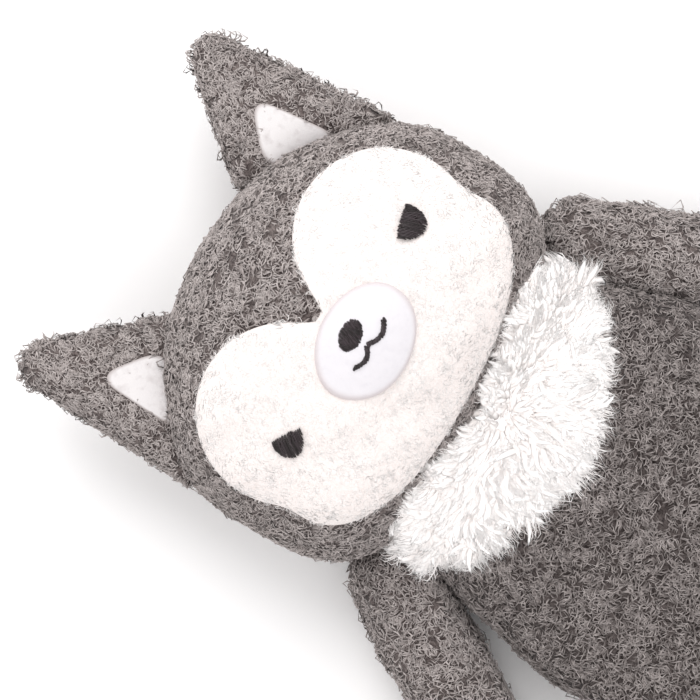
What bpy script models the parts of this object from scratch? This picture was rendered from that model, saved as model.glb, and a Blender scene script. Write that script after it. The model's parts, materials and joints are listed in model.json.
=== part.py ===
"""A hand puppet of a grey and white wolf cub, lying on its back.

The face looks up (+Z), the head points along +Y and the puppet's own left is +X. The origin is
the middle of the torso's flat underside. Plans are laid out from the middle of the muzzle, which
lies FACE_Y along +Y, and `world` moves them from there.
"""

import math

import bmesh
import bpy
import numpy as np

MM = 0.001
GAP = 0.35 * MM  # between two pieces that touch
FACE_Y = 120 * MM  # from the origin to the middle of the muzzle

# Thickness of each cloth
PLUSH = 2.8 * MM
LINING = 0.8 * MM
MASK_PLUSH = 2.2 * MM
MASK_LIFT = 0.9 * MM  # room for the head panel's flat facets below the mask
FELT = 1.1 * MM
THREAD = 0.8 * MM

# Head: two panels sewn round a flat seam and stuffed
HEAD_HALF_WIDTH = 69.5 * MM
HEAD_HALF_LENGTH = 51.6 * MM
HEAD_Y = 8.6 * MM
HEAD_SEAM_Z = 37 * MM
HEAD_RISE = 38 * MM
HEAD_DROP = 39.5 * MM  # cut off level by the surface it lies on
CROWN_FULLNESS = 2.0
CHIN_FULLNESS = 3.6
NECK_HOLE_HALF_WIDTH = 24 * MM
NECK_HOLE_LIFT = 11.5 * MM

# Face
LOBE_X = 31 * MM
LOBE_Y = 10 * MM
LOBE_RADIUS = 28.6 * MM
CHEEK_HALF_WIDTH = 57 * MM
CHEEK_HALF_HEIGHT = 26 * MM
CHEEK_Y = -10 * MM
MUZZLE_HALF_WIDTH = 19 * MM
MUZZLE_HALF_HEIGHT = 14.6 * MM
MUZZLE_RISE = 2.6 * MM
NOSE_HALF_WIDTH = 5.5 * MM
NOSE_HALF_HEIGHT = 3.6 * MM
NOSE_Y = 5.2 * MM
MOUTH_HALF_WIDTH = 9.1 * MM
MOUTH_DEPTH = 4.2 * MM
MOUTH_PEAK = 1 * MM  # of its middle over its ends
MOUTH_Y = -2 * MM
MOUTH_THREAD = 0.75 * MM
EYE_X = 38 * MM
EYE_Y = 4.8 * MM
EYE_HALF_WIDTH = 5.5 * MM
EYE_DEPTH = 6.8 * MM
EYE_SLANT = math.radians(23)

# Ears: flat triangular cushions that follow the head's seam
EAR_CLEAR = 2.8 * MM
EAR_BASE_TURNS = (math.radians(71), math.radians(19))  # where each ear starts and ends on the seam
EAR_TIP = (56.5 * MM, 86 * MM)
EAR_TIP_RADIUS = 7.5 * MM
EAR_RISE = 7.5 * MM
EAR_PLUSH = 2 * MM
EAR_FELT_CORNERS = ((51.5 * MM, 69.5 * MM), (35 * MM, 56.5 * MM), (53.5 * MM, 43.5 * MM))
EAR_PIVOT = (50.5 * MM, 47.5 * MM)

# Torso: front and back panel with a lining, open at the hem
SEAM_Z = 22 * MM
HEM_Y = -189 * MM
TORSO_SIDE = (  # place along Y and half width there, from the hem up
    (HEM_Y, 70 * MM),
    (-150 * MM, 70 * MM),
    (-111 * MM, 67 * MM),
    (-90 * MM, 60 * MM),
    (-72 * MM, 52 * MM),
)
CHEST_TOP_Y = -59 * MM
BACK_TOP_Y = -50 * MM
HEM_BAND = 2.6 * MM
STITCH_Y = -183 * MM
LINING_TOP_Y = -76 * MM
TORSO_FULLNESS = 2.6
SHOULDER_HOLE_LIFT = 12.5 * MM
BIB_HALF_WIDTH = 45 * MM
BIB_HALF_HEIGHT = 14.5 * MM
BIB_Y = -76 * MM
BIB_SAG = 4 * MM  # of its middle below its ends
BIB_PILE = 6 * MM
LABEL_HALF_WIDTH = 7 * MM
LABEL_HALF_LENGTH = 11 * MM
LABEL_Y = -150 * MM
LABEL_TAPE = 0.6 * MM
LABEL_CLEAR = 0.2 * MM
NECK_HALF_WIDTH = 33 * MM
NECK_HALF_HEIGHT = 12.5 * MM
NECK_PIVOT = (0.0, -48 * MM, 24 * MM)

# Arms: tubes closed by a stuffed paw, each with a finger sleeve
ARM_LENGTH = 98 * MM
ARM_Z = 16.4 * MM
ARM_ROOT = (62.5 * MM, -47 * MM)
ARM_RADIUS = 15.8 * MM
ARM_SWELL = 1.8 * MM
ARM_PLUSH = 2.2 * MM
ARM_MOUTH = 1 * MM
ARM_CLEAR = 19.4 * MM  # kept free of the torso round each shoulder
FINGER_RADIUS = 8.8 * MM
SHOULDER_HOLE = (43.5 * MM, -55 * MM)
SHOULDER_HOLE_ANGLE = math.radians(105)
SLEEVE_MOUTH_SETBACK = -2 * MM
SHOULDER_HOLE_RADIUS = 8 * MM
SHOULDER_BOW = 6 * MM
SLEEVE_MOUTH_RADIUS = 12 * MM
ARM_ANGLE = {"left": math.radians(20), "right": math.radians(34)}  # out from straight down
SIDES = {"left": 1, "right": -1}

FINISHES = {
    "grey_plush": ((0.30, 0.265, 0.255), 0.95),
    "white_plush": ((0.93, 0.90, 0.89), 0.95),
    "white_fur": ((0.95, 0.92, 0.90), 0.9),
    "white_felt": ((0.90, 0.87, 0.89), 0.9),
    "black_thread": ((0.025, 0.018, 0.022), 0.45),
    "lining_cloth": ((0.28, 0.26, 0.26), 0.85),
    "stuffing": ((0.90, 0.89, 0.87), 1.0),
    "label_tape": ((0.92, 0.92, 0.91), 0.6),
}


# ---- objects -----------------------------------------------------------------------------------
def clear_scene():
    for thing in list(bpy.data.objects):
        bpy.data.objects.remove(thing, do_unlink=True)


def finish(slot, name):
    """The piece's own material, with its slot's colour and roughness."""
    colour, roughness = FINISHES[slot]
    material = bpy.data.materials.new(f"{slot}_{name}")
    material.use_nodes = True
    shader = material.node_tree.nodes["Principled BSDF"]
    shader.inputs["Base Color"].default_value = (*colour, 1)
    shader.inputs["Roughness"].default_value = roughness
    shader.inputs["Metallic"].default_value = 0
    return material


def world(x, y, z):
    return (x, y + FACE_Y, z)


def pivot(name, place, parent=None):
    """An empty on a joint's axis."""
    empty = bpy.data.objects.new(name, None)
    empty.empty_display_size = 0.01
    bpy.context.scene.collection.objects.link(empty)
    place = np.array(world(*place))
    empty["place"] = list(place)
    if parent:
        empty.parent = parent
        place = place - np.array(parent["place"])
    empty.location = place
    return empty


def piece(name, slot, points, faces, holder=None):
    """An object from points laid out from the muzzle, hung on the empty that it turns with."""
    shift = np.array([0, FACE_Y, 0]) - (np.array(holder["place"]) if holder else 0)
    mesh = bpy.data.meshes.new(name)
    mesh.from_pydata((np.asarray(points) + shift).tolist(), [], faces)
    body = bmesh.new()
    body.from_mesh(mesh)
    bmesh.ops.remove_doubles(body, verts=body.verts, dist=1e-6)
    bmesh.ops.recalc_face_normals(body, faces=body.faces)
    body.to_mesh(mesh)
    body.free()
    mesh.shade_smooth()
    mesh.set_sharp_from_angle(angle=math.radians(50))
    mesh.materials.append(finish(slot, name))
    thing = bpy.data.objects.new(name, mesh)
    bpy.context.scene.collection.objects.link(thing)
    thing.parent = holder
    return thing


def walled(thing, thickness):
    """Gives an open surface a wall on its inner side."""
    wall = thing.modifiers.new("wall", "SOLIDIFY")
    wall.thickness = thickness
    wall.offset = -1
    wall.use_even_offset = True
    return thing


# ---- grids -------------------------------------------------------------------------------------
def quads(rows, columns, wrapped):
    """The faces of a grid of points, row by row. A wrapped grid's last column joins its first."""
    last = columns if wrapped else columns - 1
    faces = []
    for row in range(rows - 1):
        for column in range(last):
            after = (column + 1) % columns
            here = row * columns
            faces.append((here + column, here + after, here + columns + after, here + columns + column))
    return faces


def plate(name, slot, outline, lower, upper, holder=None, rings=4):
    """A closed plate: its outline shrinks ring by ring to its middle, below and above."""
    outline = np.asarray(outline)
    middle = outline.mean(axis=0)
    count = len(outline)
    shares = np.sin(np.linspace(1, 1 / rings, rings) * math.pi / 2)
    plan = np.concatenate([middle + (outline - middle) * share for share in shares] + [[middle]])
    share = np.concatenate([np.full(count, each) for each in shares] + [[0.0]])
    points = np.concatenate([upper(plan, share), lower(plan, share)])
    below = len(plan)
    centre = rings * count
    faces = []
    for start, turn in ((0, 1), (below, -1)):
        sheet = [tuple(start + corner for corner in face) for face in quads(rings, count, True)]
        edge = start + (rings - 1) * count
        sheet += [(edge + i, edge + (i + 1) % count, start + centre) for i in range(count)]
        faces += [face[::turn] for face in sheet]
    faces += [(i, below + i, below + (i + 1) % count, (i + 1) % count) for i in range(count)]
    return piece(name, slot, points, faces, holder)


def loft(name, slot, rings, holder=None, closed=False):
    """Rings of points joined in order. A ring whose points all meet is a closed end."""
    rings = np.asarray(rings)
    rows, columns, _ = rings.shape
    faces = quads(rows, columns, True)
    if closed:
        faces += [tuple(range(columns)), tuple(range((rows - 1) * columns, rows * columns))]
    faces = [face for face in faces if len(set(face)) > 2]
    return piece(name, slot, rings.reshape(-1, 3), faces, holder)


def shell(name, slot, outer, inner, holder=None, wrapped=False, pole=False):
    """A curved wall: rows of points for its outer face, matching rows for its inner face.

    A wrapped shell goes all the way round, and a pole is a last row whose points all meet.
    """
    outer, inner = np.asarray(outer), np.asarray(inner)
    rows, columns, _ = outer.shape
    below = rows * columns
    faces = quads(rows, columns, wrapped)
    faces += [tuple(below + corner for corner in face[::-1]) for face in quads(rows, columns, wrapped)]
    ends = [0] if pole else [0, rows - 1]
    for row in ends:
        for column in range(columns if wrapped else columns - 1):
            here, after = row * columns + column, row * columns + (column + 1) % columns
            faces.append((here, after, below + after, below + here))
    if not wrapped:
        for column in (0, columns - 1):
            for row in range(rows - 1):
                here, after = row * columns + column, (row + 1) * columns + column
                faces.append((here, after, below + after, below + here))
    points = np.concatenate([outer.reshape(-1, 3), inner.reshape(-1, 3)])
    return piece(name, slot, points, faces, holder)


# ---- outlines ----------------------------------------------------------------------------------
def around(count):
    return np.arange(count) / count * 2 * math.pi


def rounded(values, fullness):
    """A sine or cosine made fuller, so that an oval goes towards a box."""
    return np.sign(values) * np.abs(values) ** (2 / fullness)


def oval(count, half_width, half_height, x=0.0, y=0.0, fullness=2.0):
    turn = around(count)
    across = x + half_width * rounded(np.cos(turn), fullness)
    along = y + half_height * rounded(np.sin(turn), fullness)
    return np.stack([across, along], axis=1)


def rounded_corners(corners, radii, steps=4):
    """A polygon with each corner replaced by an arc of its own radius."""
    corners = np.asarray(corners)
    outline = []
    for i, corner in enumerate(corners):
        before = corners[i - 1] - corner
        after = corners[(i + 1) % len(corners)] - corner
        before = before / np.linalg.norm(before)
        after = after / np.linalg.norm(after)
        half = math.acos(np.clip(before @ after, -1, 1)) / 2
        inward = (before + after) / np.linalg.norm(before + after)
        centre = corner + inward * radii[i] / math.sin(half)
        spread = math.pi / 2 - half
        side = np.array([-inward[1], inward[0]])
        sense = 1 if side @ before > 0 else -1
        for step in range(steps + 1):
            angle = spread * (1 - 2 * step / steps)
            outline.append(centre - radii[i] * (inward * math.cos(angle) - sense * side * math.sin(angle)))
    return np.array(outline)


def spread_out(outline, count):
    """The same closed outline with its points evenly spaced."""
    loop = np.concatenate([outline, outline[:1]])
    length = np.concatenate([[0], np.cumsum(np.linalg.norm(np.diff(loop, axis=0), axis=1))])
    at = np.arange(count) / count * length[-1]
    return np.stack([np.interp(at, length, loop[:, 0]), np.interp(at, length, loop[:, 1])], axis=1)


def mirrored(outline, side):
    return np.asarray(outline) * (side, 1)


# ---- head --------------------------------------------------------------------------------------
def head_share(x, y):
    """How far out a point of the head's plan is: 0 in the middle, 1 on the seam."""
    up = (y - HEAD_Y) / HEAD_HALF_LENGTH
    fullness = np.where(up > 0, CROWN_FULLNESS, CHIN_FULLNESS)
    power = np.abs(x / HEAD_HALF_WIDTH) ** fullness + np.abs(up) ** fullness
    return np.minimum(power ** (1 / fullness), 1)


def swell(share):
    """A stuffed panel's height: nearly level in the middle, steep at the seam."""
    return np.sqrt(np.maximum(1 - share**2.4, 0))


def face_point(plan, lift):
    """Points on the head's front panel, moved out along its normal."""
    x, y = plan[:, 0], plan[:, 1]
    step = 0.2 * MM

    def height(across, along):
        return HEAD_SEAM_Z + HEAD_RISE * swell(head_share(across, along))

    slope_x = (height(x + step, y) - height(x - step, y)) / (2 * step)
    slope_y = (height(x, y + step) - height(x, y - step)) / (2 * step)
    normal = np.stack([-slope_x, -slope_y, np.ones_like(x)], axis=1)
    normal /= np.linalg.norm(normal, axis=1, keepdims=True)
    return np.stack([x, y, height(x, y)], axis=1) + normal * np.reshape(lift, (-1, 1))


def head_rings(sense, rise, inset):
    """The rings of one face of a head panel, from the seam to the middle."""
    count = 28
    turn = around(count)
    shares = np.array([1, 0.965, 0.88, 0.74, 0.54, 0.3])
    fullness = np.where(np.sin(turn) > 0, CROWN_FULLNESS, CHIN_FULLNESS)
    rings = []
    for share in shares:
        x = (HEAD_HALF_WIDTH - inset) * share * rounded(np.cos(turn), fullness)
        y = HEAD_Y + (HEAD_HALF_LENGTH - inset) * share * rounded(np.sin(turn), fullness)
        height = (rise - inset) * swell(np.full(count, share)) + GAP / 2
        if share == 1:
            open_share = np.clip(1 - (np.abs(x) / NECK_HOLE_HALF_WIDTH) ** 4, 0, 1)
            height += NECK_HOLE_LIFT * open_share * (y < HEAD_Y)
        rings.append(np.stack([x, y, np.maximum(HEAD_SEAM_Z + sense * height, inset)], axis=1))
    middle = [0, HEAD_Y, max(HEAD_SEAM_Z + sense * (rise - inset + GAP / 2), inset)]
    return rings + [np.tile(middle, (count, 1))]


def head_panel(name, sense, rise, holder):
    """Half of the head's skin. Its seam opens at the chin, where the neck goes in."""
    outer, inner = (head_rings(sense, rise, inset) for inset in (0, PLUSH))
    return shell(name, "grey_plush", outer, inner, holder, wrapped=True, pole=True)


def head_stuffing(holder):
    """A soft filling inside both panels, with a blind hole for the finger sleeve."""
    inset = PLUSH + 1.2 * MM
    ends = np.sin(np.linspace(-1, 1, 11) * math.pi / 2)
    turn = around(20)
    rings = []
    for end in ends:
        fullness = CROWN_FULLNESS if end > 0 else CHIN_FULLNESS
        width = (HEAD_HALF_WIDTH - inset) * (1 - abs(end) ** fullness) ** (1 / fullness)
        high = (HEAD_RISE - inset) * math.sqrt(max(1 - abs(end) ** CROWN_FULLNESS, 0))
        low = min(high, HEAD_SEAM_Z - inset)
        z = np.where(np.sin(turn) > 0, high, low) * rounded(np.sin(turn), 2.2)
        x = width * rounded(np.cos(turn), 1.9)
        y = np.full(20, HEAD_Y + (HEAD_HALF_LENGTH - inset) * end)
        rings.append(np.stack([x, y, HEAD_SEAM_Z + z], axis=1))
    filling = loft("head_stuffing", "stuffing", rings, holder)
    cutter = finger_tube("sleeve_cutter", -60 * MM, 13 * MM, FINGER_RADIUS + LINING + GAP, holder, True)
    cutter.hide_render = True
    cutter.display_type = "WIRE"
    hole = filling.modifiers.new("finger_hole", "BOOLEAN")
    hole.operation = "DIFFERENCE"
    hole.object = cutter
    return filling


def finger_tube(name, mouth_y, end_y, radius, holder, closed):
    """A round-ended tube along the head's length."""
    turn = around(16)
    rings = []
    stations = [(mouth_y, 1.0), ((mouth_y + end_y) / 2, 1.0), (end_y - radius, 1.0)]
    stations += [(end_y - radius * (1 - math.sin(a)), math.cos(a)) for a in (0.6, 1.1, math.pi / 2)]
    for y, share in stations:
        x = radius * share * np.cos(turn)
        z = HEAD_SEAM_Z + radius * share * np.sin(turn)
        rings.append(np.stack([x, np.full(16, y), z], axis=1))
    tube = loft(name, "lining_cloth", rings, holder)
    if closed:
        lid = bmesh.new()
        lid.from_mesh(tube.data)
        bmesh.ops.holes_fill(lid, edges=lid.edges)
        bmesh.ops.recalc_face_normals(lid, faces=lid.faces)
        lid.to_mesh(tube.data)
        lid.free()
    return tube


def mask_outline(count=34):
    """Two round lobes over the eyes and one wide oval below: the farthest of the three each way."""
    turn = around(count) + math.pi / count
    away = np.stack([np.cos(turn), np.sin(turn)], axis=1)
    reach = np.zeros(count)
    for side in SIDES.values():
        towards = away @ np.array([LOBE_X * side, LOBE_Y + 4 * MM])
        apart = LOBE_X**2 + (LOBE_Y + 4 * MM) ** 2 - LOBE_RADIUS**2
        inside = towards**2 - apart
        reach = np.maximum(reach, np.where(inside > 0, towards + np.sqrt(np.maximum(inside, 0)), 0))
    wide = oval(720, CHEEK_HALF_WIDTH, CHEEK_HALF_HEIGHT, 0, CHEEK_Y + 4 * MM, 2.3)
    angle = np.mod(np.arctan2(wide[:, 1], wide[:, 0]), 2 * math.pi)
    order = np.argsort(angle)
    distance = np.linalg.norm(wide, axis=1)
    cheek = np.interp(np.mod(turn, 2 * math.pi), angle[order], distance[order], period=2 * math.pi)
    reach = np.maximum(reach, cheek)
    return away * reach[:, None] - (0, 4 * MM)


def face_mask(holder):
    def below(plan, share):
        return face_point(plan, np.full(len(plan), MASK_LIFT))

    def above(plan, share):
        return face_point(plan, np.full(len(plan), MASK_LIFT + MASK_PLUSH))

    return plate("face_mask", "white_plush", mask_outline(), below, above, holder, rings=5)


def muzzle(holder):
    """A wadding pad under a felt oval, on the mask."""
    base = MASK_LIFT + MASK_PLUSH + GAP
    pad = MUZZLE_RISE * 0.9

    def dome(share, height):
        return height * (1 - share**2)

    def pad_below(plan, share):
        return face_point(plan, np.full(len(plan), base))

    def pad_above(plan, share):
        return face_point(plan, base + 0.5 * MM + dome(share, pad))

    small = oval(24, MUZZLE_HALF_WIDTH - 3 * MM, MUZZLE_HALF_HEIGHT - 3 * MM)
    plate("muzzle_wadding", "stuffing", small, pad_below, pad_above, holder, rings=3)

    def felt_below(plan, share):
        return face_point(plan, base + dome(share, MUZZLE_RISE + 1.1 * MM))

    def felt_above(plan, share):
        return face_point(plan, base + FELT + dome(share, MUZZLE_RISE + 1.1 * MM))

    wide = oval(28, MUZZLE_HALF_WIDTH, MUZZLE_HALF_HEIGHT)
    plate("muzzle_felt", "white_felt", wide, felt_below, felt_above, holder, rings=4)


def muzzle_top(plan):
    """How far the muzzle felt's upper face stands off the head."""
    share = np.hypot(plan[:, 0] / MUZZLE_HALF_WIDTH, plan[:, 1] / MUZZLE_HALF_HEIGHT)
    return MASK_LIFT + MASK_PLUSH + GAP + FELT + (MUZZLE_RISE + 1.1 * MM) * (1 - np.minimum(share, 1) ** 2)


def stitched_patch(name, outline, ground, holder):
    """A thin satin-stitched patch on the surface that `ground` gives."""

    def below(plan, share):
        return face_point(plan, ground(plan) + GAP)

    def above(plan, share):
        return face_point(plan, ground(plan) + GAP + THREAD * (1.2 - 0.4 * share))

    return plate(name, "black_thread", outline, below, above, holder, rings=2)


def mask_top(plan):
    return np.full(len(plan), MASK_LIFT + MASK_PLUSH)


def eye_outline(side):
    """A half moon: a nearly straight lid above, a round below, slanting up to the outside."""
    turn = np.linspace(math.pi, 2 * math.pi, 12)
    low = np.stack([EYE_HALF_WIDTH * np.cos(turn), EYE_DEPTH * np.sin(turn)], axis=1)
    lid_x = np.linspace(EYE_HALF_WIDTH, -EYE_HALF_WIDTH, 6)[1:-1]
    lid = np.stack([lid_x, 0.6 * MM * np.cos(lid_x / EYE_HALF_WIDTH * math.pi / 2)], axis=1)
    outline = np.concatenate([low, lid]) + (0, EYE_DEPTH * 0.4)
    along = np.array([math.cos(EYE_SLANT), math.sin(EYE_SLANT)])
    over = np.array([-math.sin(EYE_SLANT), math.cos(EYE_SLANT)])
    return mirrored(outline @ np.stack([along, over]) + (EYE_X, EYE_Y), side)


def mouth(holder):
    """A line of stem stitch like a flat letter w, as one flat ribbon."""
    across = np.linspace(-1, 1, 25)
    dip = np.sin(np.abs(across) * math.pi) * MOUTH_DEPTH
    peak = MOUTH_PEAK * (1 - np.abs(across))
    middle = np.stack([across * MOUTH_HALF_WIDTH, MOUTH_Y - dip + peak], axis=1)
    along = np.gradient(middle, axis=0)
    along /= np.linalg.norm(along, axis=1, keepdims=True)
    side = np.stack([-along[:, 1], along[:, 0]], axis=1) * MOUTH_THREAD
    rows = []
    for edge, lift in ((-1, GAP), (1, GAP), (1, GAP + THREAD), (-1, GAP + THREAD)):
        plan = middle + side * edge
        rows.append(face_point(plan, muzzle_top(plan) + lift))
    return loft("mouth_embroidery", "black_thread", np.stack(rows, axis=1), holder, closed=True)


def head(holder):
    head_panel("head_front_panel", 1, HEAD_RISE, holder)
    head_panel("head_back_panel", -1, HEAD_DROP, holder)
    head_stuffing(holder)
    sleeve = finger_tube("head_finger_sleeve", -42 * MM, 12 * MM, FINGER_RADIUS + LINING, holder, False)
    walled(sleeve, LINING)
    face_mask(holder)
    muzzle(holder)
    nose = oval(16, NOSE_HALF_WIDTH, NOSE_HALF_HEIGHT, 0, NOSE_Y)
    stitched_patch("nose_embroidery", nose, muzzle_top, holder)
    mouth(holder)
    for name, side in SIDES.items():
        stitched_patch(f"eye_embroidery_{name}", eye_outline(side), mask_top, holder)


# ---- ears --------------------------------------------------------------------------------------
def ear_outline(side, inset=0.0):
    """A hollow base along the head's seam, then two straight edges to a round tip."""
    turn = np.linspace(*EAR_BASE_TURNS, 9)
    across = (HEAD_HALF_WIDTH + EAR_CLEAR) * np.cos(turn)
    along = HEAD_Y + (HEAD_HALF_LENGTH + EAR_CLEAR) * np.sin(turn)
    base = np.stack([across, along], axis=1)
    arc = np.radians(np.linspace(-12, 145, 7))
    tip = EAR_TIP_RADIUS * np.stack([np.cos(arc), np.sin(arc)], axis=1) + EAR_TIP
    outline = spread_out(np.concatenate([base, tip]), 26)
    middle = outline.mean(axis=0)
    return mirrored(middle + (outline - middle) * (1 - inset), side)


def ear(name, side, holder):
    """Front and back panel, a thin wadding between them and a felt triangle on the front."""
    outline = ear_outline(side)
    count = len(outline)
    middle = outline.mean(axis=0)

    def rings(sense, inset, shrink):
        found = []
        for share in (1, 0.94, 0.8, 0.55, 0):
            plan = middle + (outline - middle) * share * shrink
            height = (EAR_RISE - inset) * math.sqrt(1 - share**2) + GAP / 2
            found.append(np.column_stack([plan, np.full(count, HEAD_SEAM_Z + sense * height)]))
        return found

    for panel, sense in (("front", 1), ("back", -1)):
        outer, inner = rings(sense, 0, 1), rings(sense, EAR_PLUSH, 0.88)
        shell(f"ear_{panel}_panel_{name}", "grey_plush", outer, inner, holder, wrapped=True, pole=True)

    def pad(sense):
        def surface(plan, share):
            height = 0.3 * MM + (EAR_RISE - 3.2 * MM) * np.sqrt(1 - share**2)
            return np.column_stack([plan, HEAD_SEAM_Z + sense * height])

        return surface

    plate(f"ear_wadding_{name}", "stuffing", ear_outline(side, 0.24), pad(-1), pad(1), holder, rings=2)

    def on_ear(lift):
        def surface(plan, share):
            away = plan - middle
            reach = ear_reach(outline, middle, away)
            height = EAR_RISE * np.sqrt(np.maximum(1 - reach**2, 0))
            return np.column_stack([plan, HEAD_SEAM_Z + height + lift])

        return surface

    corners = mirrored(EAR_FELT_CORNERS, side)
    felt = spread_out(rounded_corners(corners, [2.5 * MM, 1.5 * MM, 1.5 * MM], 2), 15)
    low, high = on_ear(1.2 * MM), on_ear(1.2 * MM + FELT)
    plate(f"ear_felt_{name}", "white_felt", felt, low, high, holder, rings=3)


def ear_reach(outline, middle, away):
    """How far out along its own ray each point lies, as a share of the outline's distance."""
    rim = outline - middle
    angle = np.arctan2(rim[:, 1], rim[:, 0])
    order = np.argsort(angle)
    distance = np.linalg.norm(rim, axis=1)[order]
    own = np.arctan2(away[:, 1], away[:, 0])
    limit = np.interp(own, angle[order], distance, period=2 * math.pi)
    return np.linalg.norm(away, axis=1) / limit


# ---- torso -------------------------------------------------------------------------------------
def torso_half_width(y):
    """Wide at the hem, a little narrower at the chest, cut back in an arc round each shoulder."""
    places, half_widths = np.transpose(TORSO_SIDE)
    wide = np.interp(y, places, half_widths)
    from_root = y - ARM_ROOT[1]
    arc = np.sqrt(np.maximum(ARM_CLEAR**2 - from_root**2, 0))
    return np.where(np.abs(from_root) < ARM_CLEAR, np.minimum(wide, ARM_ROOT[0] - arc), wide)


def torso_rise(y):
    """The front panel's height over the side seam."""
    places = np.array([HEM_Y, -165 * MM, -120 * MM, -85 * MM, -68 * MM, CHEST_TOP_Y, BACK_TOP_Y])
    return np.interp(y, places, np.array([17, 21, 25, 25, 22, 18, 17]) * MM)


def torso_drop(y):
    """The back panel's depth below the side seam. Past SEAM_Z it lies flat on the ground."""
    places = np.array([HEM_Y, -176 * MM, -160 * MM, -75 * MM, -60 * MM, BACK_TOP_Y])
    return np.interp(y, places, np.array([18.5, 22.5, 23.4, 23.4, 20, 16]) * MM)


def torso_ring(y, turn, inset):
    """The torso's outline at one place along it."""
    width = torso_half_width(y) - inset
    height = np.where(np.sin(turn) > 0, torso_rise(y), torso_drop(y)) - inset
    x = width * rounded(np.cos(turn), TORSO_FULLNESS)
    z = SEAM_Z + height * rounded(np.sin(turn), TORSO_FULLNESS)
    return np.stack([x, np.full(len(turn), y), np.maximum(z, inset)], axis=1)


def torso_rows(sense, stations, inset):
    """Rows across one face of a torso panel. Its side edges part at the shoulders."""
    rows = []
    for y in stations:
        lift = SHOULDER_HOLE_LIFT * np.clip((y + 70 * MM) / (5 * MM), 0, 1)
        height = (torso_rise(y) if sense > 0 else torso_drop(y)) - inset
        start = math.asin(np.clip(lift / height, 0, 1) ** (TORSO_FULLNESS / 2))
        turn = np.linspace(start, math.pi - start, 15) * sense
        row = torso_ring(y, turn, inset)
        row[:, 2] = np.maximum(row[:, 2] + sense * GAP / 2, inset)
        rows.append(row)
    return rows


def torso_panel(name, sense, top_y, places):
    """Half of the torso's skin, open at the shoulders, where the fingers go out."""
    stations = [y for y in places if y < top_y] + [top_y]
    outer, inner = (torso_rows(sense, stations, inset) for inset in (0, PLUSH))
    return shell(name, "grey_plush", outer, inner)


def torso_lining():
    """A tube inside both panels, from the hem to below the shoulders."""
    turn = around(24)
    inset = PLUSH + 2 * GAP
    places = np.array([-188.4, -165, -130, -105, -90]) * MM
    rings = [torso_ring(y, turn, inset) for y in [*places, LINING_TOP_Y]]
    return walled(loft("torso_lining", "lining_cloth", rings), LINING)


def hem_band():
    """The turned edge that closes the outer cloth and the lining together at the hand opening."""
    turn = around(32)
    far, near = HEM_Y - GAP - HEM_BAND, HEM_Y - GAP
    rim = torso_ring(HEM_Y, turn, 0)
    inner = torso_ring(HEM_Y, turn, PLUSH + 2 * GAP + LINING + 0.4 * MM)
    rings = []
    for ring, y in ((rim, near), (rim, far), (inner, far), (inner, near)):
        ring = ring.copy()
        ring[:, 1] = y
        rings.append(ring)
    rings.append(rings[0])
    return loft("hem_band", "grey_plush", rings)


def hem_stitching():
    """One round of thread laid on the outer cloth just above the hem."""
    turn = around(40)
    across = around(5)
    path = torso_ring(STITCH_Y, turn, -(GAP + THREAD * 0.75))
    out = path - np.array([0, STITCH_Y, SEAM_Z])
    out[:, 1] = 0
    out /= np.linalg.norm(out, axis=1, keepdims=True)
    rings = [
        path + out * (THREAD / 2 * math.cos(a)) + np.array([0, THREAD / 2 * math.sin(a), 0])
        for a in across
    ]
    rings.append(rings[0])
    return loft("hem_stitching", "lining_cloth", rings)


def chest_point(plan, lift):
    """Points on the torso's front panel, raised."""
    width = torso_half_width(plan[:, 1])
    share = np.minimum(np.abs(plan[:, 0] / width), 1)
    height = torso_rise(plan[:, 1]) * (1 - share**TORSO_FULLNESS) ** (1 / TORSO_FULLNESS)
    return np.column_stack([plan, SEAM_Z + height + lift])


def chest_bib():
    """The shaggy fur piece below the chin, as a pad of its pile's height."""

    def below(plan, share):
        return chest_point(plan, np.full(len(plan), 1.2 * MM))

    def above(plan, share):
        return chest_point(plan, 1.2 * MM + BIB_PILE * (1 - 0.6 * share**3))

    outline = oval(28, BIB_HALF_WIDTH, BIB_HALF_HEIGHT, 0, BIB_Y, 2.4)
    outline[:, 1] -= BIB_SAG * (1 - (outline[:, 0] / BIB_HALF_WIDTH) ** 2)
    return plate("chest_bib", "white_fur", outline, below, above, rings=4)


def care_label():
    """A blank tape held in the lining's side, inside the hand opening."""
    corners = [[-1, -1], [0, -1], [1, -1], [1, 0], [1, 1], [0, 1], [-1, 1], [-1, 0]]
    outline = np.array(corners) * (LABEL_HALF_WIDTH, LABEL_HALF_LENGTH)
    ground = PLUSH + 3 * GAP + LINING + LABEL_CLEAR

    def below(plan, share):
        return np.column_stack([plan + (0, LABEL_Y), np.full(len(plan), ground)])

    def above(plan, share):
        return np.column_stack([plan + (0, LABEL_Y), np.full(len(plan), ground + LABEL_TAPE)])

    return plate("care_label", "label_tape", outline, below, above, rings=1)


def torso():
    places = np.array([-189, -176, -160, -135, -111, -92, -80, -71, -66, -62, -55]) * MM
    torso_panel("torso_front_panel", 1, CHEST_TOP_Y, places)
    torso_panel("torso_back_panel", -1, BACK_TOP_Y, places)
    torso_lining()
    hem_band()
    hem_stitching()
    chest_bib()
    care_label()


def neck(holder):
    """The soft tube between the torso and the head."""
    turn = around(20)
    rings = []
    for y, middle_z in ((-57 * MM, 23 * MM), (-51 * MM, 26 * MM), (-44.6 * MM, 30 * MM)):
        x = NECK_HALF_WIDTH * np.cos(turn)
        z = middle_z + NECK_HALF_HEIGHT * np.sin(turn)
        rings.append(np.stack([x, np.full(20, y), z], axis=1))
    return walled(loft("neck_gusset", "grey_plush", rings, holder), 2 * MM)


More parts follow.
